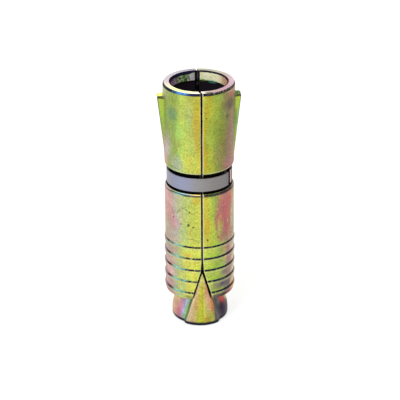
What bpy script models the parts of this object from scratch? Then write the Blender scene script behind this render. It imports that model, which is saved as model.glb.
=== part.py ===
"""Two-part expansion anchor: cast half shells, spring band and wedge nut.

The sleeve fits a 20 mm hole and takes an M12 bolt. It stands on the nut's base at z = 0,
with the bolt axis on Z. The seam between the half shells lies in the YZ plane, so each
half, with its ear, faces along X, and the two V slots and wedge fins face along Y.
"""

import math

import bmesh
import bpy
from mathutils import Matrix

MM = 0.001

# Sleeve: lengths along Z and outer radii
NUT_STAND_OUT = 9.05 * MM        # free length of the nut below the sleeve
SLEEVE_LENGTH = 64.65 * MM
RIM_FLARE = 0.3 * MM             # the upper body widens by this much up to the rim
RIM_CHAMFER_WIDTH = 0.35 * MM
RIM_CHAMFER_HEIGHT = 0.55 * MM
SEAM_GAP = 0.45 * MM
SEAM_CHAMFER = 0.2 * MM
END_ROUND = 0.4 * MM

# Sleeve: the hollow inside
BOLT_RADIUS = 6.0 * MM
BOLT_CLEARANCE = 0.9 * MM
NECK_WALL = 1.7 * MM             # between the bore and the bottom of the band's groove
NECK_DEPTH = 1.4 * MM            # of the groove below the body
MOUTH_WALL = 2.25 * MM
MOUTH_CHAMFER = 0.15 * MM
COLLAR_DEPTH = 2.9 * MM
UPPER_UNDERCUT = 0.45 * MM       # the upper hollow is this much wider than the mouth collar
LOWER_CORE_DEPTH = 0.6 * MM      # the lower hollow is this much wider than the bore
CORE_SHOULDER = 2.6 * MM         # height of the slopes between the bore and the cored hollows
LOWER_CORE_START = 13.0 * MM     # above the sleeve's lower end
NUT_MOUTH_CLEARANCE = 0.7 * MM

# Groove and band
GROOVE_BELOW_RIM = 25.0 * MM
GROOVE_HEIGHT = 5.9 * MM
LIP_ROUND = 0.8 * MM
LOWER_LIP_CHAMFER_WIDTH = 0.42 * MM
LOWER_LIP_CHAMFER_HEIGHT = 0.55 * MM
BAND_HEIGHT = 4.1 * MM
BAND_THICKNESS = 0.5 * MM
BAND_CLEARANCE = 0.4 * MM        # to the neck, so that the halves can spread inside the band
BAND_ABOVE_LIP = 0.7 * MM
BAND_END_GAP = 1.6 * MM
BAND_OPENING_AZIMUTH = math.radians(62.5)  # from the front, towards +X
BAND_EDGE_ROUND = 0.1 * MM

# Barb steps on the lower body: each starts with a ledge that faces the mouth and tapers below it
BARB_COUNT = 5
BARB_PITCH = 3.715 * MM
LAST_BARB_HEIGHT = 2.2 * MM      # of the last ledge's middle above the sleeve's lower end
BARB_RISE = 0.3 * MM             # of a crest beyond the body radius
BARB_FALL = 0.14 * MM            # a step ends this far inside the body radius, above the next ledge
BARB_LEDGE_HEIGHT = 0.5 * MM
BARB_CREST_BEVEL = 0.1 * MM
BARB_LAND_HEIGHT = 0.4 * MM

# Ears against turning
EAR_BELOW_RIM = 3.9 * MM
EAR_LENGTH = 17.2 * MM
EAR_REACH = 2.05 * MM            # beyond the body radius, at the top
EAR_THICKNESS = 3.5 * MM
EAR_ROOT_DEPTH = 0.7 * MM        # how far the ear reaches into the wall
EAR_EDGE_ROUND = 0.4 * MM

# Wedge slots in the sleeve and wedge fins on the nut
WEDGE_HALF_ANGLE = math.radians(16.0)
FIN_APEX_HEIGHT = 18.7 * MM      # where the two flanks would meet, above the nut's base
FIN_TIP_ROUND = 0.35 * MM
FIN_SLOT_CLEARANCE = 0.3 * MM    # normal to the flanks
FIN_RECESS = 0.6 * MM            # the fins stay this far inside the body radius
FIN_BOLT_CLEARANCE = 0.2 * MM
SLOT_LEAD_HEIGHT = 3.2 * MM      # stretch over which the seam opens into the V
SLOT_LEAD_DROP = 1.5 * MM        # the stretch ends this far below the V's virtual apex

# Nut
HUB_HEIGHT = 10.0 * MM
NUT_WALL = 2.25 * MM             # at the foot, outside the thread
FOOT_HEIGHT = 1.6 * MM           # straight foot of the cone
CONE_START_HEIGHT = 4.6 * MM     # the side curves in up to here and is straight above
CONE_HALF_ANGLE = math.radians(14.5)
BASE_ROUND_WIDTH = 0.65 * MM
BASE_ROUND_HEIGHT = 0.9 * MM
BASE_ROUND_BULGE = 0.13 * MM     # of the rounded lower edge beyond a plain chamfer
THREAD_DEPTH = 0.9 * MM          # M12: minor radius is 0.9 mm under the bolt radius
THREAD_CHAMFER = 0.6 * MM

# The axis on which each half rocks outwards, below the rim
HINGE_BELOW_RIM = 10.7 * MM

# Facets
TURN_STEPS = 72
ARC_STEPS = 4
SHARP_ANGLE = math.radians(28.0)
ROUNDED_ANGLE = math.radians(40.0)
MERGE_DISTANCE = 0.000001

# Heights and radii that follow from the sizes above
SLEEVE_BOTTOM = NUT_STAND_OUT
SLEEVE_TOP = SLEEVE_BOTTOM + SLEEVE_LENGTH
BORE_RADIUS = BOLT_RADIUS + BOLT_CLEARANCE
NECK_RADIUS = BORE_RADIUS + NECK_WALL
BODY_RADIUS = NECK_RADIUS + NECK_DEPTH
RIM_RADIUS = BODY_RADIUS + RIM_FLARE
MOUTH_RADIUS = RIM_RADIUS - MOUTH_WALL
GROOVE_TOP = SLEEVE_TOP - GROOVE_BELOW_RIM
GROOVE_BOTTOM = GROOVE_TOP - GROOVE_HEIGHT
BAND_INNER_RADIUS = NECK_RADIUS + BAND_CLEARANCE
BAND_OUTER_RADIUS = BAND_INNER_RADIUS + BAND_THICKNESS
BAND_TOP = GROOVE_BOTTOM + BAND_ABOVE_LIP + BAND_HEIGHT
CREST_RADIUS = BODY_RADIUS + BARB_RISE
BARB_ROOT_RADIUS = BODY_RADIUS - BARB_FALL
EAR_TOP = SLEEVE_TOP - EAR_BELOW_RIM
EAR_BOTTOM = EAR_TOP - EAR_LENGTH
WEDGE_SLOPE = math.tan(WEDGE_HALF_ANGLE)
CONE_SLOPE = math.tan(CONE_HALF_ANGLE)
SLOT_APEX_HEIGHT = FIN_APEX_HEIGHT + FIN_SLOT_CLEARANCE / math.sin(WEDGE_HALF_ANGLE)
FIN_OUTER_RADIUS = BODY_RADIUS - FIN_RECESS
FIN_INNER_RADIUS = BOLT_RADIUS + FIN_BOLT_CLEARANCE
FOOT_RADIUS = BOLT_RADIUS + NUT_WALL
THREAD_RADIUS = BOLT_RADIUS - THREAD_DEPTH
HINGE_HEIGHT = SLEEVE_TOP - HINGE_BELOW_RIM
OUTSIDE = 2.0 * BODY_RADIUS      # comfortably beyond every surface, for cutters


def clear_scene():
    """Remove every object that the file starts with."""
    for item in list(bpy.data.objects):
        bpy.data.objects.remove(item, do_unlink=True)


def new_collection(name):
    """Make a collection in the scene."""
    collection = bpy.data.collections.new(name)
    bpy.context.scene.collection.children.link(collection)
    return collection


def principled(name, colour, roughness, metallic):
    """Make a plain material."""
    material = bpy.data.materials.new(name)
    material.use_nodes = True
    shader = material.node_tree.nodes["Principled BSDF"]
    shader.inputs["Base Color"].default_value = (*colour, 1.0)
    shader.inputs["Roughness"].default_value = roughness
    shader.inputs["Metallic"].default_value = metallic
    return material


def arc(centre, radius, start, end, steps=ARC_STEPS):
    """Points of an arc in the plane of an outline, from start to end in degrees."""
    points = []
    for step in range(steps + 1):
        angle = math.radians(start + (end - start) * step / steps)
        points.append((centre[0] + radius * math.cos(angle), centre[1] + radius * math.sin(angle)))
    return points


def turned(name, profile, collection):
    """Turn a closed profile of (radius, height) points about Z.

    The points run down the outer side from top to bottom and back up the inner side.
    """
    mesh = bpy.data.meshes.new(name)
    points = [(radius, 0.0, height) for radius, height in profile]
    edges = [(index, (index + 1) % len(points)) for index in range(len(points))]
    mesh.from_pydata(points, edges, [])
    item = bpy.data.objects.new(name, mesh)
    collection.objects.link(item)
    screw = item.modifiers.new("turn", "SCREW")
    screw.axis = "Z"
    screw.angle = math.tau
    screw.steps = TURN_STEPS
    screw.render_steps = TURN_STEPS
    screw.use_merge_vertices = True
    screw.merge_threshold = MERGE_DISTANCE
    return item


def prism(name, outline, half_depth, collection):
    """Extrude a flat outline both ways from its plane, as a closed mesh lying in XY."""
    curve = bpy.data.curves.new(name, "CURVE")
    curve.dimensions = "2D"
    curve.fill_mode = "BOTH"
    curve.extrude = half_depth
    spline = curve.splines.new("POLY")
    spline.points.add(len(outline) - 1)
    for point, (across, along) in zip(spline.points, outline):
        point.co = (across, along, 0.0, 1.0)
    spline.use_cyclic_u = True
    drawn = bpy.data.objects.new(name + "_outline", curve)
    collection.objects.link(drawn)
    mesh = evaluated_mesh(drawn)
    mesh.name = name
    bpy.data.objects.remove(drawn, do_unlink=True)
    item = bpy.data.objects.new(name, mesh)
    collection.objects.link(item)
    return item


def evaluated_mesh(item):
    """Copy an object's mesh as its modifiers leave it, with caps welded."""
    bpy.context.view_layer.update()
    seen = item.evaluated_get(bpy.context.evaluated_depsgraph_get())
    mesh = bpy.data.meshes.new_from_object(seen)
    cage = bmesh.new()
    cage.from_mesh(mesh)
    bmesh.ops.remove_doubles(cage, verts=cage.verts, dist=MERGE_DISTANCE)
    cage.to_mesh(mesh)
    cage.free()
    return mesh


def stand_up(item):
    """Turn a prism drawn in XY so that its outline stands in XZ."""
    item.data.transform(Matrix.Rotation(math.radians(90.0), 4, "X"))


def make_cutter(item):
    """Show an object as a wire guide only."""
    item.hide_render = True
    item.display_type = "WIRE"


def combine(item, tool, operation):
    """Cut, join or intersect an object with a tool solid."""
    boolean = item.modifiers.new(tool.name, "BOOLEAN")
    boolean.operation = operation
    boolean.solver = "EXACT"
    boolean.object = tool


def round_edges(item, width, segments):
    """Round the sharper edges of a solid."""
    bevel = item.modifiers.new("round", "BEVEL")
    bevel.width = width
    bevel.segments = segments
    bevel.limit_method = "ANGLE"
    bevel.angle_limit = ROUNDED_ANGLE


def shade(mesh):
    """Smooth shading that stays sharp at real edges."""
    mesh.shade_smooth()
    mesh.set_sharp_from_angle(angle=SHARP_ANGLE)


def barb_heights():
    """Heights of the middle of each barb's ledge, from the top one down."""
    lowest = SLEEVE_BOTTOM + LAST_BARB_HEIGHT
    return [lowest + BARB_PITCH * index for index in reversed(range(BARB_COUNT))]


def barb_step(root, height):
    """A ledge that slopes out from a root radius, a bevel and a short land at the crest."""
    ledge_top = height + 0.5 * BARB_LEDGE_HEIGHT
    ledge_end = height - 0.5 * BARB_LEDGE_HEIGHT
    land_top = ledge_end - BARB_CREST_BEVEL
    return [
        (root, ledge_top),
        (CREST_RADIUS - BARB_CREST_BEVEL, ledge_end),
        (CREST_RADIUS, land_top),
        (CREST_RADIUS, land_top - BARB_LAND_HEIGHT),
    ]


def sleeve_outside():
    """Outer side of the sleeve, from the rim down to the lower end."""
    points = [(RIM_RADIUS - RIM_CHAMFER_WIDTH, SLEEVE_TOP), (RIM_RADIUS, SLEEVE_TOP - RIM_CHAMFER_HEIGHT)]
    lip_centre = (BODY_RADIUS - LIP_ROUND, GROOVE_TOP + LIP_ROUND)
    points += arc(lip_centre, LIP_ROUND, 0.0, -90.0)
    points += [(NECK_RADIUS, GROOVE_TOP), (NECK_RADIUS, GROOVE_BOTTOM)]
    points += [(BODY_RADIUS - LOWER_LIP_CHAMFER_WIDTH, GROOVE_BOTTOM)]
    points += [(BODY_RADIUS, GROOVE_BOTTOM - LOWER_LIP_CHAMFER_HEIGHT)]
    roots = [BODY_RADIUS] + [BARB_ROOT_RADIUS] * (BARB_COUNT - 1)
    for root, height in zip(roots, barb_heights()):
        points += barb_step(root, height)
    end_centre = (BODY_RADIUS - END_ROUND, SLEEVE_BOTTOM + END_ROUND)
    points += arc(end_centre, END_ROUND, 0.0, -90.0)
    return points


def nut_radius(height):
    """Radius of the nut's side: a straight foot, a stretch that curves in, then a cone."""
    curved = CONE_START_HEIGHT - FOOT_HEIGHT
    if height < CONE_START_HEIGHT:
        rise = max(height - FOOT_HEIGHT, 0.0)
        return FOOT_RADIUS - 0.5 * CONE_SLOPE * rise ** 2 / curved
    return FOOT_RADIUS - CONE_SLOPE * (0.5 * curved + height - CONE_START_HEIGHT)


def sleeve_inside():
    """Inner side of the sleeve, from the lower end up to the rim."""
    mouth = nut_radius(SLEEVE_BOTTOM) + NUT_MOUTH_CLEARANCE
    mouth_depth = (mouth - BORE_RADIUS) / CONE_SLOPE
    core_start = SLEEVE_BOTTOM + LOWER_CORE_START
    upper_core = MOUTH_RADIUS + UPPER_UNDERCUT
    lower_core = BORE_RADIUS + LOWER_CORE_DEPTH
    collar_bottom = SLEEVE_TOP - COLLAR_DEPTH
    return [
        (mouth, SLEEVE_BOTTOM),
        (BORE_RADIUS, SLEEVE_BOTTOM + mouth_depth),
        (BORE_RADIUS, core_start),
        (lower_core, core_start + CORE_SHOULDER),
        (lower_core, GROOVE_BOTTOM - CORE_SHOULDER),
        (BORE_RADIUS, GROOVE_BOTTOM),
        (BORE_RADIUS, GROOVE_TOP + LIP_ROUND),
        (upper_core, GROOVE_TOP + LIP_ROUND + CORE_SHOULDER),
        (upper_core, collar_bottom - UPPER_UNDERCUT),
        (MOUTH_RADIUS, collar_bottom),
        (MOUTH_RADIUS, SLEEVE_TOP - MOUTH_CHAMFER),
        (MOUTH_RADIUS + MOUTH_CHAMFER, SLEEVE_TOP),
    ]


def seam_cutter(collection):
    """Block that takes away the far half and chamfers the seam's outer corners."""
    face = 0.5 * SEAM_GAP
    corner = BODY_RADIUS - SEAM_CHAMFER
    flare = face + OUTSIDE - corner
    outline = [
        (-OUTSIDE, -OUTSIDE),
        (flare, -OUTSIDE),
        (face, -corner),
        (face, corner),
        (flare, OUTSIDE),
        (-OUTSIDE, OUTSIDE),
    ]
    cutter = prism("seam_cutter", outline, SLEEVE_LENGTH, collection)
    cutter.data.transform(Matrix.Translation((0.0, 0.0, SLEEVE_BOTTOM + 0.5 * SLEEVE_LENGTH)))
    make_cutter(cutter)
    return cutter


def slot_cutter(collection):
    """Wedge that opens the V slots of one half, front and back."""
    low = SLEEVE_BOTTOM - CORE_SHOULDER
    lead_end = SLOT_APEX_HEIGHT - SLOT_LEAD_DROP
    lead_width = WEDGE_SLOPE * SLOT_LEAD_DROP
    lead_slope = (lead_width - 0.5 * SEAM_GAP) / SLOT_LEAD_HEIGHT
    outline = [
        (-BODY_RADIUS, lead_end + (lead_width + BODY_RADIUS) / lead_slope),
        (-BODY_RADIUS, low),
        (WEDGE_SLOPE * (SLOT_APEX_HEIGHT - low), low),
        (lead_width, lead_end),
    ]
    cutter = prism("slot_cutter", outline, OUTSIDE, collection)
    stand_up(cutter)
    make_cutter(cutter)
    return cutter


def ear_blank(collection):
    """Tapered ear, drawn from the side and rounded, with its root inside the wall."""
    root = BODY_RADIUS - EAR_ROOT_DEPTH
    sink = BODY_RADIUS - math.sqrt(BODY_RADIUS ** 2 - (0.5 * EAR_THICKNESS) ** 2)
    faded = EAR_BOTTOM - sink * EAR_LENGTH / EAR_REACH
    outline = [
        (root, EAR_TOP),
        (root, faded),
        (BODY_RADIUS - sink, faded),
        (BODY_RADIUS + EAR_REACH, EAR_TOP),
    ]
    ear = prism("ear_blank", outline, 0.5 * EAR_THICKNESS, collection)
    stand_up(ear)
    round_edges(ear, EAR_EDGE_ROUND, 2)
    make_cutter(ear)
    return ear


def half_shell_mesh(cutters):
    """One cast half, with the origin of its mesh on the axis that it rocks on."""
    blank = turned("shell_blank", sleeve_outside() + sleeve_inside(), cutters)
    make_cutter(blank)
    combine(blank, seam_cutter(cutters), "DIFFERENCE")
    combine(blank, slot_cutter(cutters), "DIFFERENCE")
    combine(blank, ear_blank(cutters), "UNION")
    mesh = evaluated_mesh(blank)
    mesh.transform(Matrix.Translation((0.0, 0.0, -HINGE_HEIGHT)))
    shade(mesh)
    return mesh


def add_half_shells(parts, cutters, frame):
    """The two halves are the same casting, the left one turned half round."""
    mesh = half_shell_mesh(cutters)
    mesh.name = "half_shell"
    mesh.materials.append(principled("chromated_casting", (0.50, 0.52, 0.12), 0.38, 0.85))
    for name, turn in (("right_half_shell", 0.0), ("left_half_shell", math.pi)):
        half = bpy.data.objects.new(name, mesh)
        half.location = (0.0, 0.0, HINGE_HEIGHT)
        half.rotation_euler = (0.0, 0.0, turn)
        half.parent = frame
        parts.objects.link(half)


def add_band(parts, frame):
    """Open ring of strip steel: an upright line turned most of the way round."""
    mesh = bpy.data.meshes.new("retaining_band")
    mesh.from_pydata([(BAND_OUTER_RADIUS, 0.0, 0.0), (BAND_OUTER_RADIUS, 0.0, -BAND_HEIGHT)], [(0, 1)], [])
    band = bpy.data.objects.new("retaining_band", mesh)
    band.location = (0.0, 0.0, BAND_TOP)
    opening = BAND_END_GAP / BAND_OUTER_RADIUS
    screw = band.modifiers.new("turn", "SCREW")
    screw.axis = "Z"
    screw.angle = math.tau - opening
    screw.steps = TURN_STEPS
    screw.render_steps = TURN_STEPS
    screw.merge_threshold = MERGE_DISTANCE
    band.rotation_euler = (0.0, 0.0, BAND_OPENING_AZIMUTH - 0.5 * math.pi + 0.5 * opening)
    solidify = band.modifiers.new("thickness", "SOLIDIFY")
    solidify.thickness = BAND_THICKNESS
    solidify.offset = -1.0
    round_edges(band, BAND_EDGE_ROUND, 1)
    band.parent = frame
    parts.objects.link(band)
    band.data.materials.append(principled("strip_steel", (0.42, 0.43, 0.47), 0.32, 0.95))


def wedge_outline():
    """Side view of a fin: two flanks that meet in a rounded tip."""
    low = -OUTSIDE
    tip_centre = (0.0, FIN_APEX_HEIGHT - FIN_TIP_ROUND / math.sin(WEDGE_HALF_ANGLE))
    lean = math.degrees(WEDGE_HALF_ANGLE)
    reach = WEDGE_SLOPE * (FIN_APEX_HEIGHT - low)
    return [(-reach, low), (reach, low)] + arc(tip_centre, FIN_TIP_ROUND, lean, 180.0 - lean)


def base_round(radius):
    """The rounded lower edge of the nut's foot and fins."""
    middle = (radius - 0.5 * BASE_ROUND_WIDTH + BASE_ROUND_BULGE, 0.5 * BASE_ROUND_HEIGHT - BASE_ROUND_BULGE)
    return [(radius, BASE_ROUND_HEIGHT), middle, (radius - BASE_ROUND_WIDTH, 0.0)]


def fin_ring_profile():
    """Section of the ring that both fins are cut from."""
    return [
        (FIN_OUTER_RADIUS, FIN_APEX_HEIGHT),
        *base_round(FIN_OUTER_RADIUS),
        (FIN_INNER_RADIUS, 0.0),
        (FIN_INNER_RADIUS, FIN_APEX_HEIGHT),
    ]


def hub_profile():
    """Section of the conical hub, with the thread's minor bore."""
    curve = CONE_START_HEIGHT - FOOT_HEIGHT
    sides = [CONE_START_HEIGHT - curve * step / ARC_STEPS for step in range(ARC_STEPS + 1)]
    return [
        (nut_radius(HUB_HEIGHT), HUB_HEIGHT),
        *[(nut_radius(height), height) for height in sides],
        *base_round(FOOT_RADIUS),
        (THREAD_RADIUS + THREAD_CHAMFER, 0.0),
        (THREAD_RADIUS, THREAD_CHAMFER),
        (THREAD_RADIUS, HUB_HEIGHT - THREAD_CHAMFER),
        (THREAD_RADIUS + THREAD_CHAMFER, HUB_HEIGHT),
    ]


def add_nut(parts, cutters, frame):
    """Conical nut: a turned hub joined with two fins cut from a turned ring."""
    wedge = prism("wedge_cutter", wedge_outline(), OUTSIDE, cutters)
    stand_up(wedge)
    make_cutter(wedge)
    fins = turned("fin_ring", fin_ring_profile(), cutters)
    combine(fins, wedge, "INTERSECT")
    make_cutter(fins)
    hub = turned("nut_blank", hub_profile(), cutters)
    combine(hub, fins, "UNION")
    make_cutter(hub)
    mesh = evaluated_mesh(hub)
    mesh.name = "cone_nut"
    shade(mesh)
    mesh.materials.append(principled("chromated_nut", (0.48, 0.40, 0.16), 0.36, 0.85))
    nut = bpy.data.objects.new("cone_nut", mesh)
    nut.parent = frame
    parts.objects.link(nut)


def build():
    """Make the whole anchor."""
    clear_scene()
    parts = new_collection("expansion_anchor")
    cutters = new_collection("cutters")
    frame = bpy.data.objects.new("anchor_frame", None)
    parts.objects.link(frame)
    add_half_shells(parts, cutters, frame)
    add_band(parts, frame)
    add_nut(parts, cutters, frame)
    bpy.context.view_layer.update()


build()
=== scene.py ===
"""Looks of the two-part expansion anchor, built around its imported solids.

Shapes are worked out in millimetres and scaled to metres when a mesh is made. Z runs up the
bolt's axis, the front is towards -Y, and an azimuth is counted from the front towards +X.
"""

import math

import bpy
import numpy as np
from mathutils import Matrix, Vector, noise


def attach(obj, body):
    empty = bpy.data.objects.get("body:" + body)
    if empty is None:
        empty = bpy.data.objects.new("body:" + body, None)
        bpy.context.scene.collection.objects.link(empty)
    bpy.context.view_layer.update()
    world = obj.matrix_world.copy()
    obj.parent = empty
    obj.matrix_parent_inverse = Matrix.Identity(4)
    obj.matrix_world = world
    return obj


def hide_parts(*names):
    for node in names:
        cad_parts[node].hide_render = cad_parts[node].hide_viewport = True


MM = 0.001

# Camera, as in the photograph: degrees and millimetres
CAMERA_AZIMUTH = -4.3
CAMERA_ELEVATION = 24.8
CAMERA_DISTANCE = 520.0
CAMERA_LENS = 161.0
CAMERA_ROLL = 0.3
AIM_HEIGHT = 36.66
AIM_TO_THE_RIGHT = 0.17

# Light
ROOM_LIGHT = 0.6
FLOOR_COLOUR = 0.5
FLOOR_GLOW = 0.62
FLOOR_SIZE = 6000.0
# name, azimuth, elevation, distance, size, power in watts
LAMPS = [
    ("key", -38.0, 48.0, 620.0, 340.0, 2.2),
    ("side", 66.0, 30.0, 640.0, 260.0, 0.5),
    ("behind", 170.0, 50.0, 640.0, 320.0, 0.7),
]

# Waviness: wavelength and height of each noise, and its seed
SLEEVE_WAVES = [(4.5, 0.035), (1.1, 0.018), (0.45, 0.008)]  # seeded for each half
INNER_WAVINESS = 1.6        # how much rougher the inner side is
NUT_WAVES = [(3.5, 0.03, 11), (0.9, 0.015, 12)]
NUT_SKIN = 0.02             # the waviness stays below the solid's surface
BAND_WAVES = [(9.0, 0.04, 5), (0.9, 0.004, 6)]

# Sleeve
SLEEVE_BOTTOM = 9.05
SLEEVE_TOP = 73.7
RIM_RADIUS = 10.27
BODY_RADIUS = 10.0
NECK_RADIUS = 8.6
MOUTH_RADIUS = 8.05
BORE_RADIUS = 6.9
UPPER_HOLLOW_RADIUS = 8.65
LOWER_HOLLOW_RADIUS = 7.5
LOWER_HOLLOW_HEIGHTS = (40.2, 24.65)
LOWER_BORE_HEIGHTS = (22.05, 11.03)
GROOVE_TOP = 48.7
GROOVE_BOTTOM = 42.8
COLLAR_BOTTOM = 70.8
HALF_SEAM = 0.225
SEAM_ROUND = 0.22
SEAM_SLANT = 0.32           # sideways run of the seam faces for each millimetre of depth
SEAM_SLANT_HEIGHTS = (20.3, 23.0)
MOUTH_CORNER_ROUND = 0.3
FOOT_CORNER_ROUND = 0.4
CORNER_FADE = 1.3
TOP_RADIUS = 9.85           # where the rows start on the rim's top face
FOOT_RADIUS = 9.5           # where they end on the foot's face
FOOT_HOLLOW_RADIUS = 7.41
ROW_SPACING = 0.3
# Masks of the sleeve's sides: outer, flat faces of rim and foot, seam faces, inner
OUTER_MASK, CAP_MASK, SEAM_MASK, INNER_MASK = 0.0, 0.3, 0.5, 1.0
LARGEST_BODY_RADIUS = 10.26  # the waviness fades out towards this radius
LARGEST_REACH = 10.265       # to the front and the back

# Barb steps: heights of the middles of the ledges on top of them
BARB_HEIGHTS = [26.11, 22.395, 18.68, 14.965, 11.25]
BARB_CREST_RADIUS = 10.27
BARB_ROOT_RADIUS = 9.86
BARB_LEDGE_HALF = 0.25
BARB_LAND = 0.55
LEDGE_LINE = 0.2            # half height of the painted shade line on a ledge
LIP_LINE_BELOW = 0.6        # place of the painted shade line below the groove
CREST_BELOW = 0.62          # place of the painted highlight on the crest below a ledge

# Casting pits: azimuth, height, radius in millimetres
SLEEVE_PITS = [
    (-22.9, 33.0, 0.42), (-14.8, 32.5, 0.28), (-37.0, 33.0, 0.24), (8.9, 28.4, 0.3), (28.4, 28.7, 0.22),
    (-52.3, 34.4, 0.24), (-20.7, 37.2, 0.24), (7.4, 66.2, 0.2), (46.7, 65.5, 0.3),
]
PIT_DEPTH = 0.1
# Hairlines in the skin of the casting: azimuth and height of their corners
SLEEVE_HAIRLINES = [
    [(-43.4, 36.1), (-40.2, 37.2), (-32.0, 38.2), (-28.4, 38.6)],
    [(-27.0, 37.6), (-21.6, 36.8), (-14.4, 36.7), (-7.9, 37.4)],
    [(-66.0, 38.2), (-57.0, 36.6), (-50.0, 34.9)],
    [(-24.0, 28.4), (-17.0, 28.8), (-8.0, 27.8)],
    [(-58.0, 50.6), (-38.0, 50.0)],
]

# Wedge slots: half width of the opening at heights from the seam down to the lower end
SLOT_HEIGHTS = [9.05, 18.29, 21.49]
SLOT_HALF_WIDTHS = [3.08, 0.43, 0.225]

# Ears
EAR_TOP = 69.8
EAR_BOTTOM = 52.6
EAR_LOWEST = GROOVE_TOP + 0.9   # the ear has sunk into the body above this height
EAR_REACH = 1.98
EAR_TOP_ROUND = 0.35
EAR_TOP_BAND = (69.42, 69.98)
# distance from the ear's middle plane, and share of the ear's height there
EAR_SECTION = [
    (3.0, 0.0), (2.7, 0.008), (2.45, 0.03), (2.25, 0.08), (2.08, 0.17), (1.96, 0.29),
    (1.88, 0.42), (1.82, 0.56), (1.77, 0.70), (1.72, 0.82), (1.64, 0.91), (1.52, 0.965),
    (1.35, 0.99), (1.0, 1.0), (0.5, 1.0),
]

# Columns of the sleeve's mesh
EDGE_STEPS = [0.0, 0.07, 0.14, 0.22, 0.34, 0.52, 0.78]
PLAIN_COLUMNS = 36
WALL_STEPS = [0.07, 0.14, 0.22]
WALL_COLUMNS = 3

# Band
BAND_INNER = 9.0
BAND_OUTER = 9.5
BAND_BOTTOM = 43.5
BAND_TOP = 47.6
BAND_CENTRE = (0.5 * (BAND_INNER + BAND_OUTER), 0.5 * (BAND_TOP + BAND_BOTTOM))
BAND_OPENING = 62.5
BAND_END_GAP = 1.6
BAND_ROUND = 0.1
BAND_STEPS = 320
# The ends of the strip: distance from the end, and share of the strip's thickness there
BAND_END = [(0.0, 0.55), (0.03, 0.75), (0.08, 0.9), (0.15, 0.98), (0.28, 1.0)]

# Nut
HUB_HEIGHT = 10.0
HUB_RADIUS = 8.25
HUB_FOOT_HEIGHT = 1.6
HUB_TOP_ROUND = 0.5
CONE_START = 4.6
CONE_SLOPE = math.tan(math.radians(14.5))
FIN_RADIUS = 9.4
FIN_INNER_RADIUS = 6.2
FIN_APEX = 18.7
FIN_TIP = 0.42
FIN_FILLETS = ((1.0, 4.0, 8.5), (0.7, 1.2, 0.5))    # heights, and the fillet beside the fins there
WEDGE_ANGLE = math.radians(16.0)
THREAD_MINOR = 5.1
THREAD_DEPTH = 0.9
THREAD_PITCH = 1.75
THREAD_FLANK = 0.56
THREAD_LEAD_IN = 0.7
BASE_ROUND = 0.9
BASE_LINE = (1.5, 0.5)      # top and soft height of the painted shade line round the base
BESIDE_FINS = 3.0           # a place across the fins that is on none of them
NUT_BOX = ((-9.9, -9.9, -0.4), (9.9, 9.9, 18.3))
NUT_CELL = 0.14             # of the grid that the nut is meshed from


# Camera, lights and floor


def direction(azimuth, elevation):
    """Unit vector from the object towards an azimuth and elevation in degrees."""
    turn, rise = math.radians(azimuth), math.radians(elevation)
    return Vector((math.sin(turn) * math.cos(rise), -math.cos(turn) * math.cos(rise), math.sin(rise)))


def add_camera():
    """Put the camera at the photograph's viewing angle."""
    data = bpy.data.cameras.new("camera")
    data.sensor_width = 36.0
    data.lens = CAMERA_LENS
    data.clip_start = 0.01
    data.clip_end = 20.0
    camera = bpy.data.objects.new("camera", data)
    bpy.context.scene.collection.objects.link(camera)
    turn = math.radians(CAMERA_AZIMUTH)
    side = Vector((math.cos(turn), math.sin(turn), 0.0))
    aim = Vector((0.0, 0.0, AIM_HEIGHT)) + side * AIM_TO_THE_RIGHT
    back = direction(CAMERA_AZIMUTH, CAMERA_ELEVATION)
    camera.location = (aim + back * CAMERA_DISTANCE) * MM
    facing = (-back).to_track_quat("-Z", "Y").to_matrix().to_4x4()
    roll = Matrix.Rotation(math.radians(-CAMERA_ROLL), 4, "Z")
    camera.rotation_euler = (facing @ roll).to_euler()
    bpy.context.scene.camera = camera


def add_lamp(name, azimuth, elevation, distance, size, power):
    """Soft square lamp aimed at the middle of the object."""
    data = bpy.data.lights.new(name, "AREA")
    data.size = size * MM
    data.energy = power
    lamp = bpy.data.objects.new(name, data)
    bpy.context.scene.collection.objects.link(lamp)
    back = direction(azimuth, elevation)
    lamp.location = (Vector((0.0, 0.0, AIM_HEIGHT)) + back * distance) * MM
    lamp.rotation_euler = (-back).to_track_quat("-Z", "Y").to_euler()


def seen_directly(tree):
    """Socket that is 1 for rays from the camera, through gloss and through glass."""
    path = tree.nodes.new("ShaderNodeLightPath")
    first = tree.nodes.new("ShaderNodeMath")
    second = tree.nodes.new("ShaderNodeMath")
    second.use_clamp = True
    tree.links.new(path.outputs["Is Camera Ray"], first.inputs[0])
    tree.links.new(path.outputs["Is Glossy Ray"], first.inputs[1])
    tree.links.new(first.outputs[0], second.inputs[0])
    tree.links.new(path.outputs["Is Transmission Ray"], second.inputs[1])
    return second.outputs[0]


def set_world():
    """White surroundings that light the object at a lower level than they are seen."""
    world = bpy.data.worlds.new("studio")
    bpy.context.scene.world = world
    world.use_nodes = True
    tree = world.node_tree
    background = tree.nodes["Background"]
    background.inputs["Color"].default_value = (1.0, 1.0, 1.0, 1.0)
    level = tree.nodes.new("ShaderNodeMapRange")
    level.inputs["To Min"].default_value = ROOM_LIGHT
    level.inputs["To Max"].default_value = 1.0
    tree.links.new(seen_directly(tree), level.inputs["Value"])
    tree.links.new(level.outputs["Result"], background.inputs["Strength"])


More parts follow.
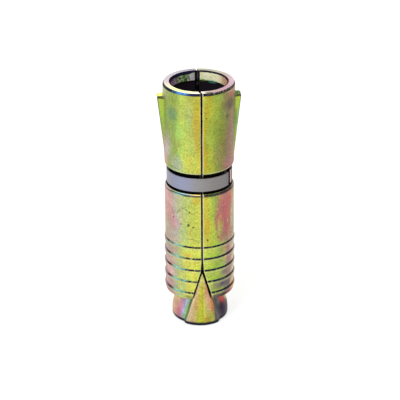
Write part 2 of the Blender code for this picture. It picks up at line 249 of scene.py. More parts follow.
def add_floor():
    """Pale floor that glows a little for the camera, so that it is white and keeps a soft shadow."""
    mesh = bpy.data.meshes.new("floor")
    half = 0.5 * FLOOR_SIZE * MM
    level = -0.02 * MM
    corners = [(-half, -half, level), (half, -half, level), (half, half, level), (-half, half, level)]
    mesh.from_pydata(corners, [], [(0, 1, 2, 3)])
    floor = bpy.data.objects.new("floor", mesh)
    bpy.context.scene.collection.objects.link(floor)
    material = bpy.data.materials.new("floor")
    material.use_nodes = True
    tree = material.node_tree
    surface = tree.nodes["Principled BSDF"]
    surface.inputs["Base Color"].default_value = (FLOOR_COLOUR, FLOOR_COLOUR, FLOOR_COLOUR, 1.0)
    surface.inputs["Roughness"].default_value = 1.0
    surface.inputs["Specular IOR Level"].default_value = 0.0
    surface.inputs["Emission Color"].default_value = (1.0, 1.0, 1.0, 1.0)
    glow = tree.nodes.new("ShaderNodeMath")
    glow.operation = "MULTIPLY"
    glow.inputs[1].default_value = FLOOR_GLOW
    tree.links.new(seen_directly(tree), glow.inputs[0])
    tree.links.new(glow.outputs[0], surface.inputs["Emission Strength"])
    mesh.materials.append(material)


# Meshes


def relief(points, wavelength, seed):
    """Smooth seeded noise from -1 to 1 at each point. Points and wavelength are in millimetres."""
    shift = Vector((seed * 17.3, seed * 5.1, seed * 9.7))
    return np.array([noise.noise(Vector(point) / wavelength + shift) for point in points])


def radii_of(points):
    """Distances from the axis."""
    return np.linalg.norm(points[:, :2], axis=1)


def near(distance, width):
    """1 at a distance of 0 or less, falling to 0 at the width."""
    return np.clip(1.0 - distance / width, 0.0, 1.0)


def waviness(points, waves):
    """Sum of noises at each point, in millimetres."""
    return sum(height * relief(points, wavelength, seed) for wavelength, height, seed in waves)


def make_piece(name, points, faces, zones, smooth_angle):
    """Make an object from points in millimetres, with three masks for its material.

    The first is 1 in dark lines of painted shade. The second is 1 along edges, painted as highlights on
    the sleeve and darker on the band, and on the nut it is the signed place across a fin, -1 and 1 at its
    flanks. The third is 0.5 on seam faces and 1 on inner sides, and on an ear it is minus the share of
    the ear's height.
    """
    mesh = bpy.data.meshes.new(name)
    mesh.from_pydata((np.asarray(points) * MM).tolist(), [], faces)
    mesh.update()
    masks = mesh.attributes.new("zones", "FLOAT_VECTOR", "POINT")
    masks.data.foreach_set("vector", np.asarray(zones, np.float32).ravel())
    mesh.shade_smooth()
    mesh.set_sharp_from_angle(angle=math.radians(smooth_angle))
    piece = bpy.data.objects.new(name, mesh)
    bpy.context.scene.collection.objects.link(piece)
    return piece


def join_rings(rings, count, flip=False):
    """Faces between closed rings of points that follow one another."""
    faces = []
    for start in range(0, (rings - 1) * count, count):
        for column in range(count):
            here, after = start + column, start + (column + 1) % count
            face = (here, here + count, after + count, after)
            faces.append((here, *face[:0:-1]) if flip else face)
    return faces


def rounded_line(corners):
    """Points along a line of (radius, height, rounding, spacing) corners.

    The rounding replaces a corner by a small arc, and the spacing is that of the stretch after it.
    """
    arc_steps = 4
    flat = [np.array(corner[:2], float) for corner in corners]
    line = []
    for index, (_, _, rounding, spacing) in enumerate(corners):
        here = flat[index]
        if 0 < index < len(flat) - 1 and rounding > 0.0:
            before, after = flat[index - 1] - here, flat[index + 1] - here
            cut = min(rounding, 0.45 * np.linalg.norm(before), 0.45 * np.linalg.norm(after))
            start = here + before / np.linalg.norm(before) * cut
            end = here + after / np.linalg.norm(after) * cut
            for step in range(arc_steps + 1):
                share = step / arc_steps
                bow = 2 * share * (1 - share) * here
                line.append(((1 - share) ** 2 * start + bow + share ** 2 * end, spacing))
        else:
            line.append((here, spacing))
    points = [line[0][0]]
    for (start, spacing), (end, _) in zip(line, line[1:]):
        pieces = max(1, math.ceil(np.linalg.norm(end - start) / spacing - 0.01))
        points += [start + (end - start) * step / pieces for step in range(1, pieces + 1)]
    return np.array(points)


def sleeve_outside():
    """Outer side of the sleeve, from the rim's top face down to the foot's face."""
    spacing = ROW_SPACING
    corners = [
        (TOP_RADIUS, SLEEVE_TOP, 0.0, 0.1),
        (RIM_RADIUS - 0.35, SLEEVE_TOP, 0.07, 0.12),
        (RIM_RADIUS, SLEEVE_TOP - 0.6, 0.16, 0.2),
        (RIM_RADIUS, 70.6, 0.0, spacing),
        (RIM_RADIUS - 0.01, EAR_TOP_BAND[1], 0.0, 0.05),
        (RIM_RADIUS - 0.01, EAR_TOP_BAND[0], 0.0, spacing),
        (BODY_RADIUS, GROOVE_TOP + 0.8, 0.3, 0.2),
        (BODY_RADIUS - 0.22, GROOVE_TOP + 0.24, 0.4, 0.2),
        (BODY_RADIUS - 0.8, GROOVE_TOP, 0.3, 0.2),
        (NECK_RADIUS, GROOVE_TOP, 0.18, spacing),
        (NECK_RADIUS, GROOVE_BOTTOM, 0.18, 0.25),
        (BODY_RADIUS - 0.42, GROOVE_BOTTOM, 0.1, 0.15),
        (BODY_RADIUS + 0.02, GROOVE_BOTTOM - 0.55, 0.12, spacing),
    ]
    for index, height in enumerate(BARB_HEIGHTS):
        root = BARB_ROOT_RADIUS if index else BODY_RADIUS
        crest = height - BARB_LEDGE_HALF
        corners += [
            (root + 0.02, height + BARB_LEDGE_HALF + 0.1, 0.1, 0.12),
            (BARB_CREST_RADIUS - 0.06, crest, 0.16, 0.12),
            (BARB_CREST_RADIUS, crest - 0.12, 0.1, 0.2),
            (BARB_CREST_RADIUS, crest - BARB_LAND, 0.3, spacing),
        ]
    corners += [
        (BODY_RADIUS + 0.03, SLEEVE_BOTTOM + 0.6, 0.2, 0.2),
        (BODY_RADIUS - 0.05, SLEEVE_BOTTOM, 0.45, 0.12),
        (FOOT_RADIUS, SLEEVE_BOTTOM, 0.0, 0.2),
    ]
    return rounded_line(corners)


def sleeve_inside():
    """Inner side of the sleeve as (radius, height), from the rim down."""
    corners = [
        (MOUTH_RADIUS + 0.15, SLEEVE_TOP, 0.0, 0.1),
        (MOUTH_RADIUS, SLEEVE_TOP - 0.2, 0.15, 0.2),
        (MOUTH_RADIUS, COLLAR_BOTTOM, 0.15, 0.1),
        (UPPER_HOLLOW_RADIUS, COLLAR_BOTTOM - 0.45, 0.2, 0.3),
        (UPPER_HOLLOW_RADIUS, GROOVE_TOP + 3.4, 0.8, 0.3),
        (BORE_RADIUS, GROOVE_TOP + 0.8, 0.8, 0.3),
        (BORE_RADIUS, GROOVE_BOTTOM, 0.8, 0.3),
        (LOWER_HOLLOW_RADIUS, LOWER_HOLLOW_HEIGHTS[0], 0.8, 0.3),
        (LOWER_HOLLOW_RADIUS, LOWER_HOLLOW_HEIGHTS[1], 0.8, 0.3),
        (BORE_RADIUS, LOWER_BORE_HEIGHTS[0], 0.8, 0.3),
        (BORE_RADIUS, LOWER_BORE_HEIGHTS[1], 0.3, 0.3),
        (FOOT_HOLLOW_RADIUS, SLEEVE_BOTTOM, 0.0, 0.3),
    ]
    return rounded_line(corners)


def even_heights(heights):
    """The outer rows' heights with ties spread a little, so that inner rows never share a height."""
    eased = heights.copy()
    for _ in range(3):
        eased[1:-1] = 0.25 * eased[:-2] + 0.5 * eased[1:-1] + 0.25 * eased[2:]
    return eased


def slot_half_width(height):
    """Half of the opening between the halves: the seam above, the V slot below."""
    return np.interp(height, SLOT_HEIGHTS, SLOT_HALF_WIDTHS)


def round_corner(along, depth, radius):
    """Move a point of a square corner onto a quarter circle.

    along and depth are distances from the corner on its two sides, and one of them is 0.
    """
    if max(along, depth) >= radius:
        return along, depth
    turn = math.radians(45.0) * (1.0 - depth / radius + along / radius)
    return radius * (1.0 - math.cos(turn)), radius * (1.0 - math.sin(turn))


def bend(offset, radius):
    """How far a surface falls away at a distance from a rounded corner."""
    return radius * (1.0 - np.sqrt(1.0 - near(offset, radius) ** 2))


def ear_outline(height):
    """Outer reach and height of the ear's surface for a row at that height, or None beyond the ear."""
    if height < EAR_LOWEST:
        return None
    reach = EAR_REACH * (min(height, EAR_TOP) - EAR_BOTTOM) / (EAR_TOP - EAR_BOTTOM)
    low, high = EAR_TOP_BAND
    outer = BODY_RADIUS + reach
    if height <= low:
        return outer, height
    share = (height - low) / (high - low)
    if share < 0.35:
        turn = math.radians(90.0) * share / 0.35
        fall = EAR_TOP_ROUND * (1.0 - math.sin(turn))
        return outer - EAR_TOP_ROUND * (1.0 - math.cos(turn)), EAR_TOP - fall
    wall = RIM_RADIUS + 0.05
    if share < 0.85:
        run = (share - 0.35) / 0.5
        return (outer - EAR_TOP_ROUND) * (1.0 - run) + wall * run, EAR_TOP
    if share < 1.0:
        run = (share - 0.85) / 0.15
        return wall * (1.0 - run) + BODY_RADIUS * run, EAR_TOP + 0.12 * run
    return None


def raise_ear(across, radius, height, share):
    """Point of a column that crosses the ear."""
    body = math.sqrt(radius ** 2 - across ** 2)
    found = ear_outline(height)
    if found is None or share == 0.0:
        return body, across, height
    lift = found[0] - body
    lift = 0.5 * (lift + math.sqrt(lift ** 2 + 0.01))
    return body + share * lift, across, height + share * (found[1] - height)


def outer_columns(radius, height):
    """Points of one outer row, from the front seam round to the back seam."""
    face = float(slot_half_width(height))
    start = math.asin(face / radius)
    ear_start = 0.5 * math.pi - math.asin(EAR_SECTION[0][0] / radius)
    front = []
    for step in EDGE_STEPS:
        along, depth = round_corner(step, 0.0, SEAM_ROUND)
        reach = radius - depth
        turn = math.asin((face + along) / reach) if step < SEAM_ROUND else start + step / radius
        front.append((reach * math.sin(turn), -reach * math.cos(turn), height))
    first = start + EDGE_STEPS[-1] / radius
    for step in range(1, PLAIN_COLUMNS):
        turn = first + (ear_start - first) * step / PLAIN_COLUMNS
        front.append((radius * math.sin(turn), -radius * math.cos(turn), height))
    ear = [raise_ear(-across, radius, height, share) for across, share in EAR_SECTION]
    middle = [raise_ear(0.0, radius, height, 1.0)]
    back = [(x, -y, z) for x, y, z in reversed(front + ear)]
    return front + ear + middle + back


def inner_columns(radius, height):
    """Points of one inner row, with as many columns as an outer row."""
    face = float(slot_half_width(height))
    start = math.asin(face / radius)
    ear_start = 0.5 * math.pi - math.asin(EAR_SECTION[0][0] / BODY_RADIUS)
    turns = [start + step / radius for step in EDGE_STEPS]
    first = turns[-1]
    turns += [first + (ear_start - first) * step / PLAIN_COLUMNS for step in range(1, PLAIN_COLUMNS)]
    turns += [0.5 * math.pi - math.asin(across / BODY_RADIUS) for across, _ in EAR_SECTION]
    front = [(radius * math.sin(turn), -radius * math.cos(turn), height) for turn in turns]
    back = [(x, -y, z) for x, y, z in reversed(front)]
    return front + [(radius, 0.0, height)] + back


def wall_depths(thickness):
    """Depths of the columns on a seam face, below the outer side."""
    last = WALL_STEPS[-1]
    spacing = (thickness - last) / (WALL_COLUMNS + 1)
    return WALL_STEPS + [last + spacing * step for step in range(1, WALL_COLUMNS + 1)]


def seam_face(outer, inner):
    """Points across the front seam face between an outer and an inner row, each (radius, height)."""
    points = []
    for depth in wall_depths(outer[0] - inner[0]):
        share = depth / (outer[0] - inner[0])
        height = outer[1] + (inner[1] - outer[1]) * share
        along, sunk = round_corner(0.0, depth, SEAM_ROUND)
        reach = outer[0] - sunk
        side = float(slot_half_width(height)) + along
        points.append((side, -math.sqrt(reach ** 2 - side ** 2), height))
    return points


def half_sleeve():
    """Points and faces of the half towards +X, and what its masks are worked out from.

    Each row is a closed ring: outer side, back seam face, inner side, front seam face. For every
    point, depths tells which of these it is on, radii is its row's outer radius, and crossing is the
    share of the ear's height.
    """
    outer = sleeve_outside()
    inner_line = sleeve_inside()
    inner_heights = even_heights(outer[:, 1])
    inner_radii = np.interp(inner_heights, inner_line[::-1, 1], inner_line[::-1, 0])
    columns = len(outer_columns(BODY_RADIUS, SLEEVE_TOP))
    walls = len(wall_depths(1.0))
    ring = 2 * (columns + walls)
    points, depths, radii, crossing = [], [], [], []
    across_ear = [0.0] * (len(EDGE_STEPS) + PLAIN_COLUMNS - 1)
    across_ear += [share for _, share in EAR_SECTION]
    across_ear += [1.0] + across_ear[::-1]
    for (radius, height), inner in zip(outer, zip(inner_radii, inner_heights)):
        face = seam_face((radius, height), inner)
        points += outer_columns(radius, height)
        points += [(x, -y, z) for x, y, z in face]
        points += inner_columns(*inner)[::-1]
        points += face[::-1]
        depths += [OUTER_MASK] * columns + [SEAM_MASK] * walls
        depths += [INNER_MASK] * columns + [SEAM_MASK] * walls
        radii += [radius] * ring
        crossing += across_ear + [0.0] * (ring - columns)
    faces = join_rings(len(outer), ring)
    for row, upward in ((0, True), (len(outer) - 1, False)):
        cap_points, cap_faces = end_cap(points, row * ring, columns, walls, upward)
        points += cap_points
        depths += [CAP_MASK] * len(cap_points)
        radii += [outer[0, 0]] * len(cap_points)
        crossing += [0.0] * len(cap_points)
        faces += cap_faces
    return np.array(points), faces, np.array(depths), np.array(radii), np.array(crossing)


def slant_seams(points, outer_radii):
    """Let the seam faces run slightly sideways through the wall, so that no light shows through them."""
    sunk = np.clip(outer_radii - radii_of(points), 0.0, None)
    fade = near(SEAM_SLANT_HEIGHTS[1] - points[:, 2], np.ptp(SEAM_SLANT_HEIGHTS))
    fade *= near(np.abs(points[:, 0]) - HALF_SEAM, 2.5)
    points[:, 0] += SEAM_SLANT * sunk * fade * np.sign(points[:, 1])
    return points


def end_cap(points, start, columns, walls, upward):
    """Points and faces that close the wall's end between the outer and the inner arc of a ring."""
    last = start + 2 * (columns + walls) - 1
    outer = [start + column for column in range(columns)]
    inner = [start + 2 * columns + walls - 1 - column for column in range(columns)]
    lines = [outer]
    added = []
    for step in range(walls):
        line = [last - step]
        for outside, inside in zip(outer[1:-1], inner[1:-1]):
            outside, inside = np.array(points[outside]), np.array(points[inside])
            reach = np.linalg.norm(outside[:2]) - np.linalg.norm(inside[:2])
            share = wall_depths(reach)[step] / reach
            line.append(len(points) + len(added))
            added.append(tuple(outside + (inside - outside) * share))
        line.append(start + columns + step)
        lines.append(line)
    lines.append(inner)
    faces = []
    for outside, inside in zip(lines, lines[1:]):
        for column in range(columns - 1):
            face = (outside[column], outside[column + 1], inside[column + 1], inside[column])
            faces.append(face if upward else face[::-1])
    return added, faces


def pit_depths(points, turned):
    """Depth of the small casting pits at each point."""
    side = -1.0 if turned else 1.0
    around = np.degrees(np.arctan2(side * points[:, 0], -side * points[:, 1]))
    depths = np.zeros(len(points))
    for azimuth, height, size in SLEEVE_PITS:
        reach = np.hypot(np.radians(around - azimuth) * BODY_RADIUS, points[:, 2] - height) / size
        depths += PIT_DEPTH * np.exp(-reach ** 2)
    return depths


def from_ledges(heights, drop=0.0):
    """Distances from the nearest barb's ledge, or from a height that much below it."""
    return np.min([np.abs(heights - barb + drop) for barb in BARB_HEIGHTS], axis=0)


def sleeve_zones(points, depths, outer_radii, crossing):
    """Masks of one half: painted shade lines, painted edge highlights, the side of the wall or place on the
    ear.
    """
    outside = depths <= CAP_MASK
    heights, radii = points[:, 2], radii_of(points)
    # painted shade: dark lines on the barbs' ledges and below the groove's lower lip
    line = np.maximum(near(from_ledges(heights) - LEDGE_LINE, 0.14),
                      near(np.abs(heights - GROOVE_BOTTOM + LIP_LINE_BELOW) - 0.045, 0.09))
    # painted highlights on the crests, on the upper lip's lower edge and on the seam's edges, brighter at
    # the front
    crest = near(from_ledges(heights, CREST_BELOW), 0.3)
    lip = near(np.abs(heights - GROOVE_TOP - 0.5), 0.25) * (radii > BODY_RADIUS - 0.8)
    seam = near(points[:, 0] - slot_half_width(heights), 0.32) * np.where(points[:, 1] < 0.0, 1.0, 0.45)
    edge = np.clip(0.3 * crest + seam + 0.7 * lip, 0.0, 1.0)
    on_ear = np.clip((radii - outer_radii - 0.15) / 0.3, 0.0, 1.0)
    inside = np.where(outside, -crossing * on_ear, depths)
    return np.stack([line * outside, edge * outside, inside], axis=1)


def cast_sleeve(name, turned, seed):
    """One half of the sleeve, with rounded seam ends and the waviness of a casting."""
    points, faces, depths, outer_radii, crossing = half_sleeve()
    zones = sleeve_zones(points, depths, outer_radii, crossing)
    outside = depths <= CAP_MASK
    radii = radii_of(points)
    heights = points[:, 2].copy()
    offset = points[:, 0] - slot_half_width(heights)
    points[:, 2] -= near(SLEEVE_TOP - heights, CORNER_FADE) ** 2 * bend(offset, MOUTH_CORNER_ROUND)
    points[:, 2] += near(heights - SLEEVE_BOTTOM, CORNER_FADE) ** 2 * bend(offset, FOOT_CORNER_ROUND)
    samples = points + np.array((0.0, 0.0, 200.0 * seed))
    layers = [relief(samples, wavelength, seed) for wavelength, _ in SLEEVE_WAVES]
    wave = sum(height * layer for layer, (_, height) in zip(layers, SLEEVE_WAVES))
    wave *= np.where(outside, 1.0, INNER_WAVINESS)
    wave -= pit_depths(points, turned)
    wave *= np.clip((LARGEST_BODY_RADIUS - radii) / 0.1, 0.0, 1.0) * 0.75 + 0.25
    wave[depths == SEAM_MASK] = 0.0
    points[:, :2] *= (1.0 + wave / radii)[:, None]
    _, quick, fine = layers
    points[:, 0] += near(np.abs(offset), 0.5) * (0.03 * quick + 0.02 * fine)
    points[:, 2] += near(from_ledges(heights), 1.2) * outside * 0.05 * quick
    points = slant_seams(points, outer_radii)
    points[:, 1] = np.clip(points[:, 1], -LARGEST_REACH, LARGEST_REACH)
    if turned:
        points[:, :2] *= -1.0
    return make_piece(name, points, faces, zones, 40.0)


def band_section():
    """Rounded section of the strip, as (radius, height) round its edge."""
    radius, height = BAND_CENTRE
    half_width = 0.5 * (BAND_OUTER - BAND_INNER) - BAND_ROUND
    half_height = 0.5 * (BAND_TOP - BAND_BOTTOM) - BAND_ROUND
    section = []
    for start, side, end in ((0, 1, 1), (90, -1, 1), (180, -1, -1), (270, 1, -1)):
        for step in range(4):
            turn = math.radians(start + 30 * step)
            section.append((radius + side * half_width + BAND_ROUND * math.cos(turn),
                            height + end * half_height + BAND_ROUND * math.sin(turn)))
    dense = []
    for here, after in zip(section, section[1:] + section[:1]):
        pieces = max(1, round(math.dist(here, after) / 0.3))
        for step in range(pieces):
            dense.append(tuple(a + (b - a) * step / pieces for a, b in zip(here, after)))
    return dense


def spring_band():
    """Open ring of strip steel with rounded edges and ends."""
    section = band_section()
    opening = math.degrees(BAND_END_GAP / BAND_OUTER)
    start = BAND_OPENING + 0.5 * opening
    sweep = 360.0 - opening
    end = [(math.degrees(step / BAND_OUTER), width) for step, width in BAND_END]
    plain = np.linspace(end[-1][0], sweep - end[-1][0], BAND_STEPS)[1:-1]
    stations = end + [(turn, 1.0) for turn in plain]
    stations += [(sweep - turn, width) for turn, width in reversed(end)]
    points = []
    for turn, width in stations:
        azimuth = math.radians(start + turn)
        trim = (1.0 - width) * 0.2
        for radius, height in section:
            radius = BAND_CENTRE[0] + (radius - BAND_CENTRE[0]) * width
            rise = height - BAND_CENTRE[1]
            height = BAND_CENTRE[1] + math.copysign(max(abs(rise) - trim, 0.0), rise)
            points.append((radius * math.sin(azimuth), -radius * math.cos(azimuth), height))
    count = len(section)
    faces = join_rings(len(stations), count, flip=True)
    points, faces = cap_band_end(points, faces, 0, count, True)
    points, faces = cap_band_end(points, faces, (len(stations) - 1) * count, count, False)
    points = np.array(points)
    radii = radii_of(points)
    points[:, :2] *= (1.0 + waviness(points, BAND_WAVES) / radii)[:, None]
    zones = np.zeros((len(points), 3))
    heights = points[:, 2]
    zones[:, 1] = near(np.minimum(BAND_TOP - heights, heights - BAND_BOTTOM), 0.14)
    zones[:, 2] = radii < BAND_CENTRE[0]
    return make_piece("spring_band", points, faces, zones, 50.0)


def cap_band_end(points, faces, start, count, first):
    """Close an end of the strip with a shrunken ring and a fan."""
    ring = np.array(points[start:start + count])
    middle = ring.mean(axis=0)
    inner = len(points)
    points = points + [tuple(middle + (point - middle) * (0.5, 0.5, 0.93)) for point in ring]
    points.append(tuple(middle))
    for column in range(count):
        after = (column + 1) % count
        quad = (start + column, inner + column, inner + after, start + after)
        tri = (inner + column, inner + count, inner + after)
        faces += [quad, tri] if first else [quad[::-1], tri[::-1]]
    return points, faces


# Nut: a field of signed distances, and the mesh where it is zero


def smooth_max(a, b, width):
    """The larger of two fields, with a rounded edge between them."""
    blend = np.clip(width - np.abs(a - b), 0.0, None)
    return np.maximum(a, b) + blend ** 2 / (4.0 * width)


def smooth_min(a, b, width):
    """The smaller of two fields, with a fillet between them."""
    blend = np.clip(width - np.abs(a - b), 0.0, None)
    return np.minimum(a, b) - blend ** 2 / (4.0 * width)


def nut_side(height):
    """Radius of the hub: a straight foot, a stretch that curves in, then a cone."""
    curved = CONE_START - HUB_FOOT_HEIGHT
    rise = np.clip(height - HUB_FOOT_HEIGHT, 0.0, None)
    run = np.where(rise < curved, 0.5 * rise ** 2 / curved, rise - 0.5 * curved)
    return HUB_RADIUS - CONE_SLOPE * run


def nut_field(x, y, z):
    """Signed distance to the nut: hub and fins, less the threaded bore."""
    radius = np.sqrt(x ** 2 + y ** 2)
    hub = smooth_max((radius - nut_side(z)) * 0.97, z - HUB_HEIGHT, HUB_TOP_ROUND)
    ridge = 0.05 * np.exp(-((x - 0.3 - 0.03 * (12.0 - z)) / 0.28) ** 2)
    crown = 0.012 * x ** 2
    flank = np.sqrt(x ** 2 + FIN_TIP ** 2) * math.cos(WEDGE_ANGLE)
    flank -= (FIN_APEX - z) * math.sin(WEDGE_ANGLE)
    fins = smooth_max(radius - FIN_RADIUS + 0.02 - ridge + crown, flank, 0.5)
    fins = smooth_max(fins, FIN_INNER_RADIUS - radius, 0.3)
    body = smooth_min(hub, fins, np.interp(z, *FIN_FILLETS))
    body = smooth_max(body, -z, BASE_ROUND)
    turns = z / THREAD_PITCH - np.arctan2(y, x) / math.tau
    away = np.abs(turns - np.floor(turns) - 0.5) * THREAD_PITCH
    tooth = np.clip(1.15 - away / THREAD_FLANK, 0.0, 1.0)
    bore = THREAD_MINOR + THREAD_DEPTH * tooth
    ends = np.minimum(z, HUB_HEIGHT - z)
    bore = np.maximum(bore, THREAD_MINOR + THREAD_DEPTH + 0.1 - np.clip(ends / THREAD_LEAD_IN, 0.0, 1.0))
    return smooth_max(body, (bore - radius) * 0.85, 0.12)


def surface_net(field, low, cell):
    """Mesh where a grid of distances changes sign.

    It has a point in each cell with both signs, and a face on each grid edge that changes sign.
    """
    inside = field < 0.0
    shape = np.array(field.shape) - 1
    total = np.zeros((*shape, 3))
    count = np.zeros(shape)
    faces = []
    crossings = []
    for axis in range(3):
        head = [slice(None)] * 3
        tail = [slice(None)] * 3
        head[axis], tail[axis] = slice(0, -1), slice(1, None)
        a, b = field[tuple(head)], field[tuple(tail)]
        crossed = inside[tuple(head)] != inside[tuple(tail)]
        share = np.where(crossed, a / np.where(crossed, a - b, 1.0), 0.0)
        others = [other for other in range(3) if other != axis]
        for first in (0, 1):
            for second in (0, 1):
                part = [slice(None)] * 3
                part[others[0]] = slice(first, first + shape[others[0]])
                part[others[1]] = slice(second, second + shape[others[1]])
                hit = crossed[tuple(part)]
                count += hit
                total[..., axis] += np.where(hit, share[tuple(part)], 0.0)
                total[..., others[0]] += hit * first
                total[..., others[1]] += hit * second
        crossings.append((axis, others, crossed, inside[tuple(head)]))
    mixed = count > 0
    names = np.full(shape, -1)
    names[mixed] = np.arange(mixed.sum())
    cells = np.argwhere(mixed)
    points = low + (cells + total[mixed] / count[mixed][:, None]) * cell
    for axis, others, crossed, starts_inside in crossings:
        where = np.argwhere(crossed)
        keep = (where[:, others[0]] > 0) & (where[:, others[1]] > 0)
        keep &= (where[:, others[0]] < shape[others[0]]) & (where[:, others[1]] < shape[others[1]])
        where = where[keep]
        quad = []
        for first, second in ((1, 1), (0, 1), (0, 0), (1, 0)):
            spot = where.copy()
            spot[:, others[0]] -= first
            spot[:, others[1]] -= second
            quad.append(names[tuple(spot.T)])
        quad = np.stack(quad, axis=1)
        flip = starts_inside[tuple(where.T)] != (axis != 1)
        quad[flip] = quad[flip][:, ::-1]
        faces += quad.tolist()
    return points, faces


def relax(points, faces, rounds):
    """Ease the points of a quad mesh towards their neighbours."""
    quads = np.array(faces)
    heads = np.concatenate([quads[:, side] for side in range(4)])
    tails = np.concatenate([quads[:, (side + 1) % 4] for side in range(4)])
    degree = np.bincount(heads, minlength=len(points)) + np.bincount(tails, minlength=len(points))
    for share in [0.5, -0.52] * rounds:
        mean = np.zeros_like(points)
        for axis in range(3):
            mean[:, axis] += np.bincount(heads, points[tails, axis], len(points))
            mean[:, axis] += np.bincount(tails, points[heads, axis], len(points))
        points = points + share * (mean / degree[:, None] - points)
    return points


def wedge_nut():
    """The nut as one smooth casting with a cut thread."""
    low, high = (np.array(corner) for corner in NUT_BOX)
    axes = [np.arange(start, end, NUT_CELL) for start, end in zip(low, high)]
    x, y, z = np.meshgrid(*axes, indexing="ij")
    points, faces = surface_net(nut_field(x, y, z), low, NUT_CELL)
    points = relax(points, faces, 4)
    radii = radii_of(points)
    threaded = radii < THREAD_MINOR + THREAD_DEPTH + 0.15
    wave = waviness(points, NUT_WAVES) - NUT_SKIN
    points[:, :2] *= (1.0 + np.where(threaded, 0.0, wave) / radii)[:, None]
    points[:, 2] = np.clip(points[:, 2], 0.0, None)
    zones = np.zeros((len(points), 3))
    zones[:, 0] = np.clip((BASE_LINE[0] - points[:, 2]) / BASE_LINE[1], 0.0, 1.0)
    half_fin = np.maximum((FIN_APEX - points[:, 2]) * math.tan(WEDGE_ANGLE), 0.1)
    zones[:, 1] = -np.sign(points[:, 1]) * points[:, 0] / half_fin
    zones[np.abs(points[:, 1]) < 5.0, 1] = BESIDE_FINS
    zones[:, 2] = threaded
    return make_piece("wedge_nut", points, faces, zones, 60.0)


# Materials


def linear(colour):
    """Linear RGBA of a colour. Three values are those of a screen, 0 to 255, and one is a grey factor."""
    if isinstance(colour, (int, float)):
        return (colour, colour, colour, 1.0)
    if isinstance(colour, bpy.types.NodeSocket) or len(colour) == 4:
        return colour
    rgb = []
    for value in colour:
        share = value / 255.0
        rgb.append(share / 12.92 if share <= 0.04045 else ((share + 0.055) / 1.055) ** 2.4)
    return (*rgb, 1.0)


class Shading:
    """Builds the node tree of one material. Colours are given as linear() takes them."""

    def __init__(self, name):
        self.material = bpy.data.materials.new(name)
        self.material.use_nodes = True
        self.tree = self.material.node_tree
        self.surface = self.tree.nodes["Principled BSDF"].inputs

    def put(self, socket, value):
        """Set a socket to a value, or link it to another socket."""
        if isinstance(value, bpy.types.NodeSocket):
            self.tree.links.new(value, socket)
        else:
            socket.default_value = value

    def node(self, kind, inputs, **settings):
        """Add a node. inputs gives values or sockets by input name or number."""
        made = self.tree.nodes.new(kind)
        for name, value in settings.items():
            setattr(made, name, value)
        for key, value in inputs.items():
            self.put(made.inputs[key], value)
        return made

    def math(self, operation, *values, clamp=False):
        inputs = dict(enumerate(values))
        return self.node("ShaderNodeMath", inputs, operation=operation, use_clamp=clamp).outputs[0]

    def times(self, *masks):
        """Product of masks and shares."""
        product = masks[0]
        for mask in masks[1:]:
            product = self.math("MULTIPLY", product, mask)
        return product

    def vector(self, operation, first, second=(0.0, 0.0, 0.0)):
        made = self.node("ShaderNodeVectorMath", {0: first, 1: second}, operation=operation)
        return made.outputs["Value" if operation in ("LENGTH", "DOT_PRODUCT") else "Vector"]

    def noise(self, place, scale, detail=2.0, roughness=0.5, distortion=0.0, output=0):
        inputs = {"Vector": place, "Scale": scale, "Detail": detail, "Roughness": roughness,
                  "Distortion": distortion}
        return self.node("ShaderNodeTexNoise", inputs).outputs[output]

    def step(self, value, low, high):
        """0 below low, 1 above high, and smooth between."""
        inputs = {"Value": value, "From Min": low, "From Max": high}
        return self.node("ShaderNodeMapRange", inputs, interpolation_type="SMOOTHSTEP").outputs[0]

    def between(self, value, low, high, soft):
        """1 between two values and 0 outside them, with soft ends."""
        above = self.step(value, low - soft, low + soft)
        return self.times(above, self.step(value, high + soft, high - soft))

    def mix(self, share, first, second, blend="MIX"):
        inputs = {0: share, 6: linear(first), 7: linear(second)}
        return self.node("ShaderNodeMix", inputs, data_type="RGBA", blend_type=blend).outputs[2]

    def multiply(self, colour, share, factor):
        return self.mix(share, colour, factor, "MULTIPLY")

    def paint(self, under, colour, *masks):
        """Lay a colour over another by the product of the masks."""
        return self.mix(self.times(*masks), under, colour)

    def ramp(self, value, stops):
        """Colours along a value from 0 to 1."""
        made = self.node("ShaderNodeValToRGB", {0: value})
        elements = made.color_ramp.elements
        while len(elements) < len(stops):
            elements.new(1.0)
        for element, (place, colour) in zip(elements, stops):
            element.position = place
            element.color = linear(colour)
        return made.outputs[0]

    def spots(self, place, scale, detail, stops, roughness=0.5):
        """Colours along a noise."""
        return self.ramp(self.noise(place, scale, detail, roughness), stops)

    def finish(self, colour, grain, roughness, uneven, strength, depth):
        """Set the colour, a roughness that follows the grain, and a fine bump."""
        self.put(self.surface["Base Color"], colour)
        inputs = {"Value": grain, "To Min": roughness[0], "To Max": roughness[1]}
        self.put(self.surface["Roughness"], self.node("ShaderNodeMapRange", inputs).outputs[0])
        bump = self.node("ShaderNodeBump", {"Strength": strength, "Distance": depth * MM, "Height": uneven})
        self.put(self.surface["Normal"], bump.outputs[0])


